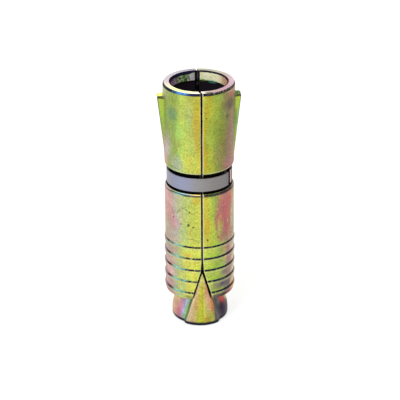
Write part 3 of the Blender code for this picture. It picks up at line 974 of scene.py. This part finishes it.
class Casting(Shading):
    """Material of a piece that knows its places (azimuth in degrees, height in mm) and its masks.

    steady is the exact place, gentle is moved a little by a noise, and azimuth and level more.
    """

    def __init__(self, name, warp):
        super().__init__(name)
        corner = self.node("ShaderNodeTexCoord", {}).outputs["Object"]
        self.place = self.vector("MULTIPLY", corner, (1.0 / MM,) * 3)
        self.streaks = self.vector("MULTIPLY", self.place, (1.0, 1.0, 0.22))
        self.across, self.backward, self.height = self.split(self.place)
        turn = self.math("ARCTAN2", self.across, self.times(self.backward, -1.0))
        around = self.times(turn, 180.0 / math.pi)
        self.steady = self.node("ShaderNodeCombineXYZ", {0: around, 1: self.height}).outputs[0]
        wobble = self.drift(self.streaks, 0.45, 3.0, (5.0 * warp, 2.4 * warp, 0.0))
        fleck = self.drift(self.place, 1.6, 2.0, (2.2 * warp, 1.0 * warp, 0.0))
        spread = self.vector("MULTIPLY", self.vector("ADD", wobble, fleck), (DEGREES_PER_MM, 1.0, 0.0))
        self.gentle = self.vector("ADD", self.steady, self.vector("MULTIPLY", spread, (0.4, 0.4, 0.0)))
        self.azimuth, self.level, _ = self.split(self.vector("ADD", self.steady, spread))
        self.radius = self.vector("LENGTH", self.vector("MULTIPLY", self.place, (1.0, 1.0, 0.0)))
        zones = self.node("ShaderNodeAttribute", {}, attribute_name="zones").outputs["Vector"]
        # groove marks the lines of painted shade; on the sleeve edge marks painted highlights along edges
        self.groove, self.edge, self.inside = self.split(zones)

    def split(self, place):
        return self.node("ShaderNodeSeparateXYZ", {0: place}).outputs

    def drift(self, place, scale, detail, reach):
        """A noise that moves a place to either side by up to half the reach."""
        colour = self.noise(place, scale, detail, output="Color")
        return self.vector("MULTIPLY", self.vector("SUBTRACT", colour, (0.5,) * 3), reach)

    def above_ledges(self):
        """1 just above each barb's ledge."""
        above = self.math("SUBTRACT", self.height, BARB_HEIGHTS[-1] + BARB_LEDGE_HALF)
        cycle = self.math("WRAP", above, BARB_HEIGHTS[0] - BARB_HEIGHTS[1], 0.0)
        return self.times(self.step(cycle, 0.75, 0.15), self.between(self.height, 11.0, 27.2, 0.1))

    def bands(self, stops):
        """Colours round the axis. stops are (azimuth, colour), from -180 to 180."""
        share = self.math("MULTIPLY_ADD", self.azimuth, 1.0 / 360.0, 0.5)
        return self.ramp(share, [(azimuth / 360.0 + 0.5, colour) for azimuth, colour in stops])

    def hairline(self, under, corners, colour):
        """Draw a thin line through (azimuth, height) corners."""
        flat = (MM_PER_DEGREE, 1.0, 0.0)
        nearest = FAR
        for start, end in zip(corners, corners[1:]):
            run = ((end[0] - start[0]) * MM_PER_DEGREE, end[1] - start[1], 0.0)
            offset = self.vector("MULTIPLY", self.vector("SUBTRACT", self.gentle, (*start, 0.0)), flat)
            along = self.vector("DOT_PRODUCT", offset, run)
            share = self.math("MULTIPLY", along, 1.0 / (run[0] ** 2 + run[1] ** 2), clamp=True)
            foot = self.node("ShaderNodeVectorMath", {0: run, "Scale": share}, operation="SCALE").outputs[0]
            distance = self.vector("LENGTH", self.vector("SUBTRACT", offset, foot))
            nearest = self.math("MINIMUM", nearest, distance)
        width = self.times(self.noise(self.place, 1.6), 0.36)
        return self.paint(under, colour, self.step(nearest, width, 0.03), 0.7)

    def patch(self, under, azimuth, height, width, tall, colour, strength, soft):
        """Lay a patch of colour over another. Width is half of it in degrees, and tall in millimetres."""
        place = self.gentle if tall > SMALL_MARK else self.steady
        offset = self.vector("SUBTRACT", place, (azimuth, height, 0.0))
        distance = self.vector("LENGTH", self.vector("MULTIPLY", offset, (1.0 / width, 1.0 / tall, 0.0)))
        return self.paint(under, colour, self.step(distance, 1.0 + soft, 1.0 - soft), strength)

    def patches(self, under, table):
        for row in table:
            under = self.patch(under, *row)
        return under

    def coat(self, dull):
        """Reflection of the thin coating over metal, without it where the surface is dull."""
        self.put(self.surface["Metallic"], self.times(self.math("SUBTRACT", 1.0, dull), COAT_METALLIC))
        self.surface["Specular IOR Level"].default_value = COAT_SPECULAR
        self.surface["Specular Tint"].default_value = (0.95, 0.96, 0.88, 1.0)


MM_PER_DEGREE = math.radians(BODY_RADIUS)
DEGREES_PER_MM = 5.7
FAR = 9.0                   # farther than any hairline reaches
SMALL_MARK = 0.6            # patches up to this half height keep their exact place
COAT_METALLIC = 0.85
COAT_SPECULAR = 0.0
STEEL_METALLIC = 0.85

YELLOW = (212, 212, 84)
LIME = (192, 208, 84)
GREEN = (150, 176, 82)
BRIGHT_GREEN = (158, 206, 62)
OLIVE = (142, 150, 64)
MAUVE = (164, 122, 106)
PINK = (212, 156, 142)
TAN = (192, 168, 128)
NAVY = (30, 30, 54)
BLACK = (13, 11, 15)
CREAM = (236, 222, 168)

# Colours round the axis: azimuth, colour
UPPER_BANDS = [
    (-180, LIME), (-150, TAN), (-125, GREEN), (-100, (150, 188, 70)), (-84, (166, 190, 90)),
    (-66, (156, 172, 86)), (-50, (152, 170, 80)), (-38, (178, 198, 94)), (-30, (196, 212, 92)),
    (-20, (182, 192, 92)), (-11, (194, 184, 78)), (-4, (204, 188, 64)), (2, (196, 184, 60)),
    (8, (182, 168, 50)), (14, (174, 182, 64)), (24, (158, 168, 62)), (34, (138, 138, 64)),
    (46, (144, 120, 82)), (58, (154, 122, 94)), (72, (166, 124, 104)), (84, (150, 176, 66)),
    (105, BRIGHT_GREEN), (120, OLIVE), (150, PINK), (180, LIME),
]
MIDDLE_BANDS = [
    (-180, YELLOW), (-140, PINK), (-110, GREEN), (-82, PINK), (-66, (208, 160, 136)),
    (-54, (194, 172, 148)), (-42, (188, 190, 142)), (-28, (194, 200, 104)), (-14, (202, 204, 86)),
    (-2, (208, 204, 84)), (5, (200, 184, 62)), (11, (196, 184, 64)), (17, (184, 196, 70)),
    (24, (168, 172, 78)), (34, (176, 132, 96)), (60, (178, 134, 104)), (74, (196, 176, 122)),
    (110, GREEN), (150, LIME), (180, YELLOW),
]
LOWER_BANDS = [
    (-180, LIME), (-140, TAN), (-100, PINK), (-60, (200, 168, 146)), (-50, (196, 178, 140)),
    (-40, (178, 188, 124)), (-30, (214, 218, 96)), (-14, (222, 222, 88)), (2, (206, 212, 80)),
    (16, (184, 200, 76)), (30, (166, 178, 76)), (44, (172, 158, 104)), (54, MAUVE),
    (70, (218, 206, 160)), (100, PINK), (140, GREEN), (180, LIME),
]
RIM_BANDS = [
    (-180, (150, 144, 152)), (-168, (158, 150, 160)), (-135, (184, 178, 190)), (-90, (204, 186, 190)),
    (-66, (236, 226, 190)), (-44, (246, 250, 164)), (-18, (250, 244, 196)), (-3, (252, 240, 226)),
    (8, (240, 226, 208)), (14, (206, 184, 172)), (26, (184, 156, 152)), (48, (178, 142, 156)),
    (90, (200, 168, 180)), (125, (176, 160, 152)), (140, (186, 180, 160)), (165, (166, 166, 142)),
    (180, (170, 170, 144)),
]
# Lower lip of the groove: painted highlights and reflections on the left, painted shade on the right
LIP_BANDS = [
    (-180, CREAM), (-70, (190, 176, 176)), (-60, (178, 176, 140)), (-50, (150, 186, 130)),
    (-40, (130, 190, 200)), (-30, (110, 150, 190)), (-22, (120, 116, 110)), (-12, (190, 156, 90)),
    (-2, (214, 180, 110)), (1, (50, 52, 46)), (60, (56, 54, 66)), (76, (170, 150, 150)), (180, CREAM),
]
# Round the nut; from 27 to 84 degrees the right side is painted dark as shade
NUT_BANDS = [
    (-180, YELLOW), (-160, LIME), (-140, TAN), (-115, MAUVE), (-92, (222, 176, 110)),
    (-74, (216, 164, 126)), (-64, (208, 160, 134)), (-54, (196, 140, 138)), (-47, (196, 142, 164)),
    (-42.5, (190, 158, 186)), (-38, (178, 180, 194)), (-34.5, (160, 186, 150)), (-31, (152, 184, 128)),
    (-26, (132, 166, 96)), (-20, TAN), (0, (196, 188, 62)), (21, (196, 164, 112)), (27, (86, 78, 84)),
    (34, (52, 48, 56)), (41, (56, 54, 54)), (50, (56, 44, 58)), (58, (54, 36, 52)), (70, (74, 46, 50)),
    (84, (44, 26, 32)), (100, MAUVE), (140, OLIVE), (180, YELLOW),
]
# Round the band; from 60 to 84 degrees, past the opening, its far end is painted dark as shade
STEEL_BANDS = [
    (-180, (140, 140, 148)), (-90, (138, 138, 150)), (-64, (146, 146, 164)), (-38, (146, 152, 178)),
    (-22, (148, 149, 168)), (-8, (148, 145, 146)), (20, (134, 130, 128)), (46, (128, 122, 124)),
    (60, (100, 96, 98)), (66, (32, 30, 36)), (73, (38, 36, 42)), (84, (92, 90, 96)),
    (100, (118, 116, 122)), (180, (140, 140, 148)),
]
# Patches: azimuth, height, half width in degrees, half height, colour, strength, softness
SLEEVE_PATCHES = [
    (-53, 66.6, 9, 1.7, (100, 136, 104), 0.8, 0.9),
    (-40, 61.5, 7, 3.2, (176, 210, 96), 0.6, 0.9),
    (-19, 67, 6, 2.6, (180, 180, 112), 0.6, 0.7),
    (-26.5, 67.5, 4, 2.4, (168, 178, 104), 0.6, 0.8),
    (10, 61.5, 3, 2.5, (176, 192, 90), 0.6, 0.8),
    (31, 54, 9, 4.5, (146, 134, 80), 0.6, 0.8),
    (-8, 64, 4, 8, (198, 166, 60), 0.8, 0.6),
    (7.4, 66, 4, 6.5, (186, 168, 48), 0.8, 0.6),
    (60, 71.7, 8, 1.1, (184, 82, 96), 0.95, 0.7),
    (62, 72.9, 16, 0.5, (206, 160, 140), 0.7, 0.7),
    (30, 71.8, 9, 1.2, (164, 184, 80), 0.6, 0.8),
    (55, 69, 11, 1.7, (84, 56, 70), 0.9, 0.7),
    (46, 65.5, 6, 1, (112, 96, 70), 0.6, 0.7),
    (34, 63, 12, 5, (138, 146, 60), 0.7, 0.8),
    (-80, 53, 12, 4.5, (218, 148, 138), 0.8, 0.6),
    (-44, 51.5, 12, 2.4, (186, 188, 156), 0.7, 0.7),
    (-16, 52.5, 14, 3, (214, 210, 84), 0.8, 0.6),
    (-70, 56, 12, 3.4, (200, 182, 168), 0.75, 0.8),
    (56, 51, 16, 2, (184, 122, 116), 0.7, 0.6),
    (-72, 40, 14, 3, (220, 172, 158), 0.75, 0.7),
    (-56, 35, 7, 3.6, (208, 156, 144), 0.7, 0.6),
    (-46, 33, 6, 2.2, (206, 172, 164), 0.75, 0.6),
    (-9, 41, 7, 1.4, (208, 178, 64), 0.8, 0.6),
    (-25, 41, 8, 1.6, (186, 192, 112), 0.6, 0.6),
    (8, 31.5, 4, 3, (206, 176, 58), 0.75, 0.6),
    (43, 37, 12, 5, (190, 104, 98), 0.85, 0.7),
    (56, 39.6, 5, 1.8, (204, 96, 90), 0.8, 0.6),
    (47, 31.5, 7, 2.6, (190, 104, 100), 0.85, 0.5),
    (27, 33.5, 5, 3.2, (188, 112, 96), 0.8, 0.5),
    (31.5, 31.6, 3.6, 2.4, (180, 182, 78), 0.85, 0.8),
    (32.9, 35.2, 1, 0.45, (226, 160, 40), 0.9, 0.5),
    (39.3, 33, 0.9, 0.3, (222, 140, 50), 0.9, 0.5),
    (49.9, 32.8, 1.4, 0.7, (206, 190, 160), 0.8, 0.6),
    (64.4, 35.4, 1.8, 0.58, (214, 206, 166), 0.8, 0.6),
    (60, 33.2, 1.6, 0.5, (214, 206, 190), 0.7, 0.6),
    (-80, 71.6, 14, 1.8, (204, 188, 152), 0.8, 0.8),
    (-70, 29.5, 14, 3, (184, 176, 138), 0.75, 0.8),
    (-68, 24.4, 12, 1.2, (166, 168, 130), 0.75, 0.7),
    (65, 35, 5, 5, (196, 180, 140), 0.7, 0.6),
    (-24, 23.4, 7, 0.8, (222, 176, 74), 0.7, 0.6),
    (-62, 17, 10, 1.6, (240, 186, 168), 0.8, 0.6),
    (-62, 12.8, 10, 1.4, (200, 150, 138), 0.7, 0.6),
    (-60, 10.3, 8, 1, (166, 152, 134), 0.7, 0.8),
    (42, 17.2, 9, 1.2, (138, 116, 110), 0.85, 0.6),
    (36, 13.4, 12, 1.2, (86, 66, 92), 0.9, 0.9),
    (50, 12.6, 8, 1.1, (88, 84, 92), 0.8, 0.9),
    (21, 13.3, 8, 1.3, (148, 144, 100), 0.8, 0.7),
    (24, 9.6, 12, 1.2, (104, 82, 78), 0.95, 0.5),
    (45, 9.8, 14, 1.3, (50, 40, 48), 0.95, 0.5),
    (-22, 9.7, 9, 0.8, (150, 144, 78), 0.85, 0.6),
    (52, 24.3, 6, 1, (190, 118, 106), 0.8, 0.5),
    (51, 21, 6, 1, (184, 116, 116), 0.8, 0.5),
    (68, 11.2, 9, 1.6, (226, 160, 70), 0.8, 0.6),
    (56, 9.9, 10, 0.8, (200, 88, 80), 0.6, 0.6),
    (-73, 10.4, 12, 1.2, (190, 96, 90), 0.6, 0.6),
]
NUT_PATCHES = [
    (41, 6.6, 7, 1.6, (106, 108, 90), 0.8, 0.7),
    (66, 5.2, 9, 1.4, (132, 70, 72), 0.7, 0.8),
    (57.5, 7.2, 11, 1.6, (212, 84, 72), 0.95, 0.7),
    (82, 6.7, 12, 1.6, (240, 204, 130), 0.95, 0.7),
    (58, 2.4, 18, 2, (58, 40, 64), 0.7, 0.8),
    (-58, 2.6, 9, 1.5, (192, 108, 122), 0.6, 0.7),
    (-72, 6.9, 16, 1.1, (228, 190, 110), 0.7, 0.7),
    (9.5, 9.8, 6, 2.2, (206, 158, 116), 0.8, 0.6),
    (-10.5, 6.6, 3.4, 1.5, (206, 150, 92), 0.85, 0.8),
    (-18, 3, 5, 2.2, (216, 176, 124), 0.6, 0.7),
    (19.5, 7.5, 3, 3, (206, 128, 66), 0.8, 0.5),
    (9, 2, 6, 1.2, (160, 136, 50), 0.7, 0.6),
    (28, 2.4, 5, 2.4, (88, 84, 80), 0.85, 0.5),
    (-1, 16.2, 6, 1.7, (222, 218, 122), 0.85, 0.7),
    (0, 17.8, 6, 0.7, (204, 186, 200), 0.95, 0.5),
]
# Painted glints on the edge just below the collar
HOLLOW_PATCHES = [
    (149, COLLAR_BOTTOM - 0.2, 9, 0.5, (120, 210, 180), 0.9, 0.6),
    (168, COLLAR_BOTTOM, 6, 0.5, (150, 200, 60), 0.8, 0.6),
]


def chromate(look, colour):
    """Mottle, cloud, speckle and grain over a piece's own colours, and the values of its grain."""
    mottle = look.noise(look.streaks, 0.7, 4.0, 0.6, 0.6)
    tint = look.ramp(mottle, [(0.32, (1.12, 0.82, 1.3, 1.0)), (0.46, (1.0, 1.04, 1.2, 1.0)),
                              (0.58, (0.84, 1.06, 1.5, 1.0)), (0.7, (1.1, 0.96, 1.1, 1.0))])
    colour = look.multiply(colour, 0.7, tint)
    colour = look.multiply(colour, 0.7, look.spots(look.place, 0.35, 3.0, [(0.3, 0.8), (0.7, 1.1)]))
    speckle = look.spots(look.place, 2.1, 3.0, [(0.34, 0.66), (0.6, 1.16)], 0.7)
    colour = look.multiply(colour, 0.85, speckle)
    grain = look.noise(look.place, 5.0, 4.0, 0.65)
    return look.multiply(colour, 0.6, look.ramp(grain, [(0.3, 0.72), (0.62, 1.08)])), grain


def set_chromate(look, colour, grain, roughness, dull):
    """Surface of the chromated castings."""
    uneven = look.math("ADD", look.noise(look.place, 2.2, 3.0), look.times(grain, 0.5))
    look.finish(colour, grain, roughness, uneven, 0.35, 0.06)
    look.coat(dull)


def ear_colours(look, colour):
    """Bright ears with a top face painted lit on the left ear and shaded on the right, and a painted shadow
    under it.
    """
    turn = look.math("ABSOLUTE", look.azimuth)
    beside = look.times(look.between(look.height, 58.0, 69.7, 1.2),
                        look.step(turn, 66.0, 84.0), look.step(turn, 118.0, 98.0), 0.8)
    raised = look.step(look.radius, 10.12, 10.7)
    tints = look.ramp(look.times(look.level, 0.01), [
        (0.54, (146, 146, 92)), (0.6, (148, 166, 80)), (0.65, (164, 192, 74)), (0.7, (172, 192, 74))])
    speckle = look.spots(look.place, 2.1, 3.0, [(0.34, 0.7), (0.62, 1.1)], 0.7)
    tints = look.multiply(tints, 0.8, speckle)
    colour = look.mix(look.math("MAXIMUM", raised, beside), colour, tints)
    # darker green mottling on the right ear's raised face
    wear_and_shade_spots = look.spots(look.streaks, 0.9, 3.0, [
        (0.4, (48, 76, 50)), (0.5, (92, 128, 70)), (0.62, (150, 178, 106))])
    right = look.step(look.azimuth, 40.0, 60.0)
    colour = look.paint(colour, wear_and_shade_spots, raised, right, look.between(look.height, 53.5, 65.5, 1.5), 0.85)
    # painted shade, dark blue along the ear's outer edge
    outline = look.times(look.step(look.inside, -0.84, -0.92), look.step(look.inside, -1.0, -0.98))
    colour = look.paint(colour, (30, 36, 84), outline, look.step(look.height, 58.0, 61.0), 0.95)
    beyond = look.step(look.radius, RIM_RADIUS, RIM_RADIUS + 0.15)
    # painted shadow under the ear's top face
    under = look.times(look.step(look.height, EAR_TOP - 0.5, EAR_TOP - 0.36), beyond)
    colour = look.paint(colour, (30, 34, 26), under, look.step(look.backward, -0.75, -0.95), 0.85)
    # the ear's top face: painted light on the left ear, painted shade in dark patches on the right ear
    patchy = look.spots(look.place, 2.4, 2.0, [(0.44, (24, 30, 26)), (0.6, (110, 150, 60))])
    lit = look.mix(look.step(look.azimuth, 20.0, -20.0), patchy, (234, 230, 110))
    top = look.times(look.step(look.height, EAR_TOP - 0.2, EAR_TOP - 0.08), beyond)
    return look.paint(colour, lit, top, look.step(look.backward, -0.95, -0.75))


def rim_colours(look, colour):
    """Pale top face with rings of wear, a chamfer painted navy as shade with a painted blue glint, and a
    chipped spot.
    """
    scaled = {0: look.times(look.radius, 5.0), 1: look.times(look.azimuth, 0.03)}
    rings = look.node("ShaderNodeCombineXYZ", scaled)
    wear_and_shade_spots = look.spots(rings.outputs[0], 1.0, 3.0, [(0.35, 0.76), (0.6, 1.04)])
    face = look.multiply(look.bands(RIM_BANDS), 0.6, wear_and_shade_spots)
    colour = look.mix(look.step(look.height, SLEEVE_TOP - 0.14, SLEEVE_TOP - 0.05), colour, face)
    # painted shade along the rim's outer chamfer
    chamfer = look.times(look.between(look.height, SLEEVE_TOP - 0.78, SLEEVE_TOP - 0.05, 0.05),
                         look.step(look.radius, RIM_RADIUS - 0.42, RIM_RADIUS - 0.34))
    chipped = look.times(look.between(look.azimuth, 4.0, 17.0, 3.0), look.step(look.radius, 9.0, 9.3),
                         look.step(look.height, SLEEVE_TOP - 0.9, SLEEVE_TOP - 0.8), 0.8)
    speckled = look.spots(look.place, 2.6, 3.0, [(0.5, (36, 34, 46)), (0.66, (120, 116, 84))])
    line = look.mix(look.step(look.azimuth, 0.0, 6.0), NAVY, speckled)
    # painted blue glint on the chamfer at the front left
    line = look.paint(line, (86, 142, 206), look.between(look.azimuth, -46.0, -24.0, 7.0), 0.8)
    return look.mix(look.math("MAXIMUM", chamfer, chipped), colour, line)


def groove_colours(look, colour):
    """Painted shade in the neck, painted light and shade on the groove's lower lip, and shade lines on the
    ledges.
    """
    outer = look.step(look.radius, 9.62, 9.7)
    right = look.between(look.azimuth, 3.0, 64.0, 4.0)
    # the groove's lower lip: painted highlights and reflections on the left, painted shade on the right
    chamfer = look.times(look.between(look.height, GROOVE_BOTTOM - 0.44, GROOVE_BOTTOM - 0.12, 0.05), outer)
    lower = look.between(look.height, GROOVE_BOTTOM - 0.72, GROOVE_BOTTOM - 0.3, 0.06)
    chamfer = look.math("MAXIMUM", chamfer, look.times(lower, outer, right, 0.85))
    speckled = look.spots(look.place, 2.6, 3.0, [(0.5, (30, 30, 38)), (0.7, (76, 88, 58))])
    colour = look.mix(chamfer, colour, look.mix(right, look.bands(LIP_BANDS), speckled))
    # a thin line of painted shade under the lip on the left
    thin = look.times(look.step(look.height, GROOVE_BOTTOM - 0.26, GROOVE_BOTTOM - 0.32),
                      look.step(look.height, GROOVE_BOTTOM - 0.66, GROOVE_BOTTOM - 0.56), outer)
    colour = look.paint(colour, (38, 38, 62), thin, look.between(look.azimuth, -62.0, 0.0, 3.0), 0.85)
    # the neck painted black as shade, with green flecks in it on the right
    neck = look.between(look.height, GROOVE_BOTTOM - 0.08, GROOVE_TOP + 0.05, 0.03)
    flecks = look.times(look.between(look.azimuth, 2.0, 48.0, 4.0),
                        look.step(look.height, GROOVE_TOP - 0.6, GROOVE_TOP - 0.3),
                        look.step(look.noise(look.streaks, 1.3), 0.5, 0.58))
    dark = look.mix(flecks, BLACK, (96, 128, 40))
    colour = look.paint(colour, dark, neck, look.step(look.radius, 9.8, 9.7))
    # painted green highlights just above the ledges on the right
    glow = look.times(look.between(look.azimuth, 14.0, 46.0, 10.0), look.above_ledges(), 0.6)
    colour = look.paint(colour, (150, 208, 52), glow, look.step(look.noise(look.place, 0.9), 0.36, 0.62))
    # painted shade lines on the ledges: navy, with painted glints on the left, paler at the sides, thinned
    # by spots
    shine = look.mix(look.noise(look.place, 0.8), (112, 186, 128), (160, 206, 204))
    line = look.mix(look.between(look.azimuth, -56.0, -34.0, 9.0), NAVY, shine)
    sides = look.between(look.math("ABSOLUTE", look.azimuth), 74.0, 98.0, 8.0)
    line = look.mix(sides, line, (150, 128, 150))
    wear_and_shade_spots = look.spots(look.streaks, 1.5, 3.0, [(0.32, 0.7), (0.48, 1.0)])
    return look.paint(colour, line, look.groove, wear_and_shade_spots)


def hollow_colours(look, colour):
    """Grainy collar in the mouth with painted light on its right, painted shade below it and on the seam
    faces.
    """
    spots = look.noise(look.place, 1.7, 4.0, 0.7)
    # the collar: gold pushed pale as painted light on the right, green with dark spots on the left
    gold = look.ramp(spots, [(0.34, (228, 224, 146)), (0.46, (252, 250, 200)), (0.58, (255, 255, 240))])
    green = look.ramp(spots, [
        (0.38, (50, 44, 62)), (0.5, (104, 132, 76)), (0.6, (176, 206, 136)), (0.7, (240, 226, 224))])
    lining = look.mix(look.step(look.azimuth, -10.0, 10.0), green, gold)
    browner = look.multiply(lining, 1.0, (0.7, 0.4, 0.32, 1.0))
    lining = look.mix(look.between(look.azimuth, 60.0, 122.0, 14.0), lining, browner)
    lining = look.paint(lining, (146, 90, 150), look.between(look.azimuth, -130.0, -80.0, 14.0), 0.75)
    lining = look.paint(lining, (226, 216, 230), look.between(look.azimuth, -176.0, -162.0, 4.0), 0.6)
    # painted shade in a navy line under the rim's inner edge, thicker on the left
    ragged = look.math("ADD", look.height, look.times(look.noise(look.place, 1.1), 0.5))
    thick = look.times(look.between(look.azimuth, -172.0, -70.0, 12.0), 0.45)
    dark_line = look.step(look.math("ADD", ragged, thick), SLEEVE_TOP - 0.25, SLEEVE_TOP - 0.11)
    lining = look.mix(dark_line, lining, NAVY)
    # below the collar the hollow is painted dark as shade
    edge = look.math("ADD", look.height, look.times(spots, 0.9))
    inner = look.mix(look.step(edge, COLLAR_BOTTOM + 0.3, COLLAR_BOTTOM + 0.6), (34, 28, 36), lining)
    inner = look.patches(inner, HOLLOW_PATCHES)
    colour = look.mix(look.step(look.inside, 0.93, 0.99), colour, inner)
    # seam faces painted dark as shade, with painted light near the outside
    walled = look.step(look.inside, 0.1, 0.3)
    walls = look.times(walled, look.step(look.inside, 0.99, 0.93))
    beside = look.times(look.step(look.math("ABSOLUTE", look.across), 0.62, 0.5), walled)
    wear_and_shade_spots = look.spots(look.place, 0.5, 3.0, [(0.4, BLACK), (0.62, (80, 70, 80))])
    face = look.mix(look.step(look.across, 0.0, 0.1), BLACK, wear_and_shade_spots)
    lip = look.times(look.between(look.height, 21.5, 62.0, 3.0), look.step(look.radius, 9.2, 9.7))
    face = look.mix(lip, face, (122, 112, 130))
    return look.mix(look.math("MAXIMUM", walls, beside), colour, face)


def sleeve_material():
    """Yellow chromated zinc on the cast sleeve."""
    look = Casting("chromated_casting", 1.0)
    upper, middle, lower = look.bands(UPPER_BANDS), look.bands(MIDDLE_BANDS), look.bands(LOWER_BANDS)
    colour = look.mix(look.step(look.level, 44.0, 46.0), middle, upper)
    colour = look.mix(look.step(look.level, 28.5, 25.5), colour, lower)
    colour, grain = chromate(look, look.patches(colour, SLEEVE_PATCHES))
    for azimuth, height, size in SLEEVE_PITS:
        colour = look.patch(colour, azimuth, height, size / MM_PER_DEGREE, size, (70, 70, 60), 0.9, 0.4)
    for corners in SLEEVE_HAIRLINES:
        colour = look.hairline(colour, corners, (96, 96, 76))
    colour = ear_colours(look, colour)
    colour = rim_colours(look, colour)
    colour = groove_colours(look, colour)
    # painted highlights along the crests, the lip's edge and the seam's edges
    colour = look.paint(colour, (240, 234, 196), look.edge, 0.75)
    colour = hollow_colours(look, colour)
    set_chromate(look, colour, grain, (0.34, 0.52), look.step(look.inside, 0.1, 0.3))
    return look.material


def fin_colours(look):
    """Colours across a fin: an olive middle and a lighter ridge, pale by the left flank as painted light,
    and brown by the right flank as painted shade.
    """
    place = look.math("MULTIPLY_ADD", look.edge, 0.4, 0.5)
    shift = look.times(look.math("SUBTRACT", look.noise(look.streaks, 0.6, 3.0), 0.5), 0.14)
    across = look.ramp(look.math("ADD", place, shift), [
        (0.1, (228, 208, 150)), (0.2, (220, 186, 130)), (0.34, (200, 186, 84)), (0.44, (190, 186, 56)),
        (0.52, (184, 180, 48)), (0.565, (216, 196, 84)), (0.62, (192, 186, 78)), (0.72, (206, 166, 112)),
        (0.82, (196, 146, 92)), (0.9, (150, 104, 60))])
    low = look.step(look.level, 6.0, 3.0)
    return look.paint(across, (178, 172, 74), low, look.between(look.edge, 0.3, 0.9, 0.15))


def nut_material():
    """The same finish on the nut, with stronger tints, and painted shade beside the fins and round the
    base.
    """
    look = Casting("chromated_nut", 0.6)
    colour = look.bands(NUT_BANDS)
    colour = look.mix(look.between(look.edge, -0.93, 1.04, 0.03), colour, fin_colours(look))
    colour = look.patches(colour, NUT_PATCHES)
    strip = look.times(look.between(look.edge, -1.2, -1.0, 0.06), look.step(look.level, 7.0, 4.0))
    colour, grain = chromate(look, look.paint(colour, (150, 190, 106), strip, 0.7))
    # painted shade in a dark line along each fin's left flank
    colour = look.paint(colour, (96, 92, 64), look.between(look.edge, -1.04, -0.95, 0.04), 0.75)
    lean = look.math("SUBTRACT", look.edge, look.times(look.height, 0.035))
    shade = look.mix(look.noise(look.streaks, 0.8, 3.0), (70, 62, 74), (104, 100, 96))
    colour = look.paint(colour, shade, look.step(lean, 0.68, 0.82), look.step(look.edge, 1.36, 1.04), 0.85)
    shadow = look.times(look.between(look.edge, 0.84, 1.3, 0.03), look.step(look.height, 8.6, 9.6))
    colour = look.paint(colour, BLACK, shadow, 0.92)
    # painted shade, a navy line round the base
    colour = look.mix(look.groove, colour, (26, 28, 50))
    thread = look.spots(look.place, 1.5, 3.0, [(0.35, (60, 54, 40)), (0.65, (150, 140, 84))])
    colour = look.mix(look.inside, colour, thread)
    set_chromate(look, colour, grain, (0.3, 0.46), 0.0)
    return look.material


def band_material():
    """Strip steel, brushed along its length, with one end of it lit."""
    look = Casting("strip_steel", 0.3)
    brushed = look.noise(look.vector("MULTIPLY", look.place, (0.12, 0.12, 9.0)), 1.0, 4.0, 0.7)
    colour = look.multiply(look.bands(STEEL_BANDS), 0.7, look.ramp(brushed, [(0.3, 0.74), (0.7, 1.14)]))
    colour = look.paint(colour, (90, 88, 96), look.edge, 0.6)
    around = look.split(look.steady)[0]
    # painted light on the cut face of the strip's far end
    colour = look.mix(look.between(around, 66.2, 68.3, 0.3), colour, (240, 190, 172))
    look.finish(colour, brushed, (0.3, 0.46), brushed, 0.25, 0.02)
    look.surface["Metallic"].default_value = STEEL_METALLIC
    return look.material


def dress():
    """Build every detailed piece and set it on its body in place of its node."""
    sleeve = sleeve_material()
    pieces = [
        (cast_sleeve("right_sleeve", False, 1), "right_half", "right_half_shell", "sleeve", sleeve),
        (cast_sleeve("left_sleeve", True, 2), "left_half", "left_half_shell", "sleeve", sleeve),
        (spring_band(), "band", "retaining_band", "band", band_material()),
        (wedge_nut(), "nut", "cone_nut", "nut", nut_material()),
    ]
    for piece, body, node, slot, material in pieces:
        piece.data.materials.append(material)
        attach(piece, body)
        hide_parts(node)


def plain(box):
    """A pair of corners as lists of numbers."""
    return [[float(value) for value in corner] for corner in box]


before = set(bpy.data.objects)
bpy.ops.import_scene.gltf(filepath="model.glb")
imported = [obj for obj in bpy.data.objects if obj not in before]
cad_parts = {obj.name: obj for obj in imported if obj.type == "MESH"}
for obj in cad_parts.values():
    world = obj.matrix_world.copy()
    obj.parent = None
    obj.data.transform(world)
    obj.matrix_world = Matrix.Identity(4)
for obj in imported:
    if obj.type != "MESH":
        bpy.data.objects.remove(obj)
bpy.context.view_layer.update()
bpy.context.scene.view_settings.view_transform = "Standard"
add_camera()
for lamp in LAMPS:
    add_lamp(*lamp)
set_world()
add_floor()
dress()
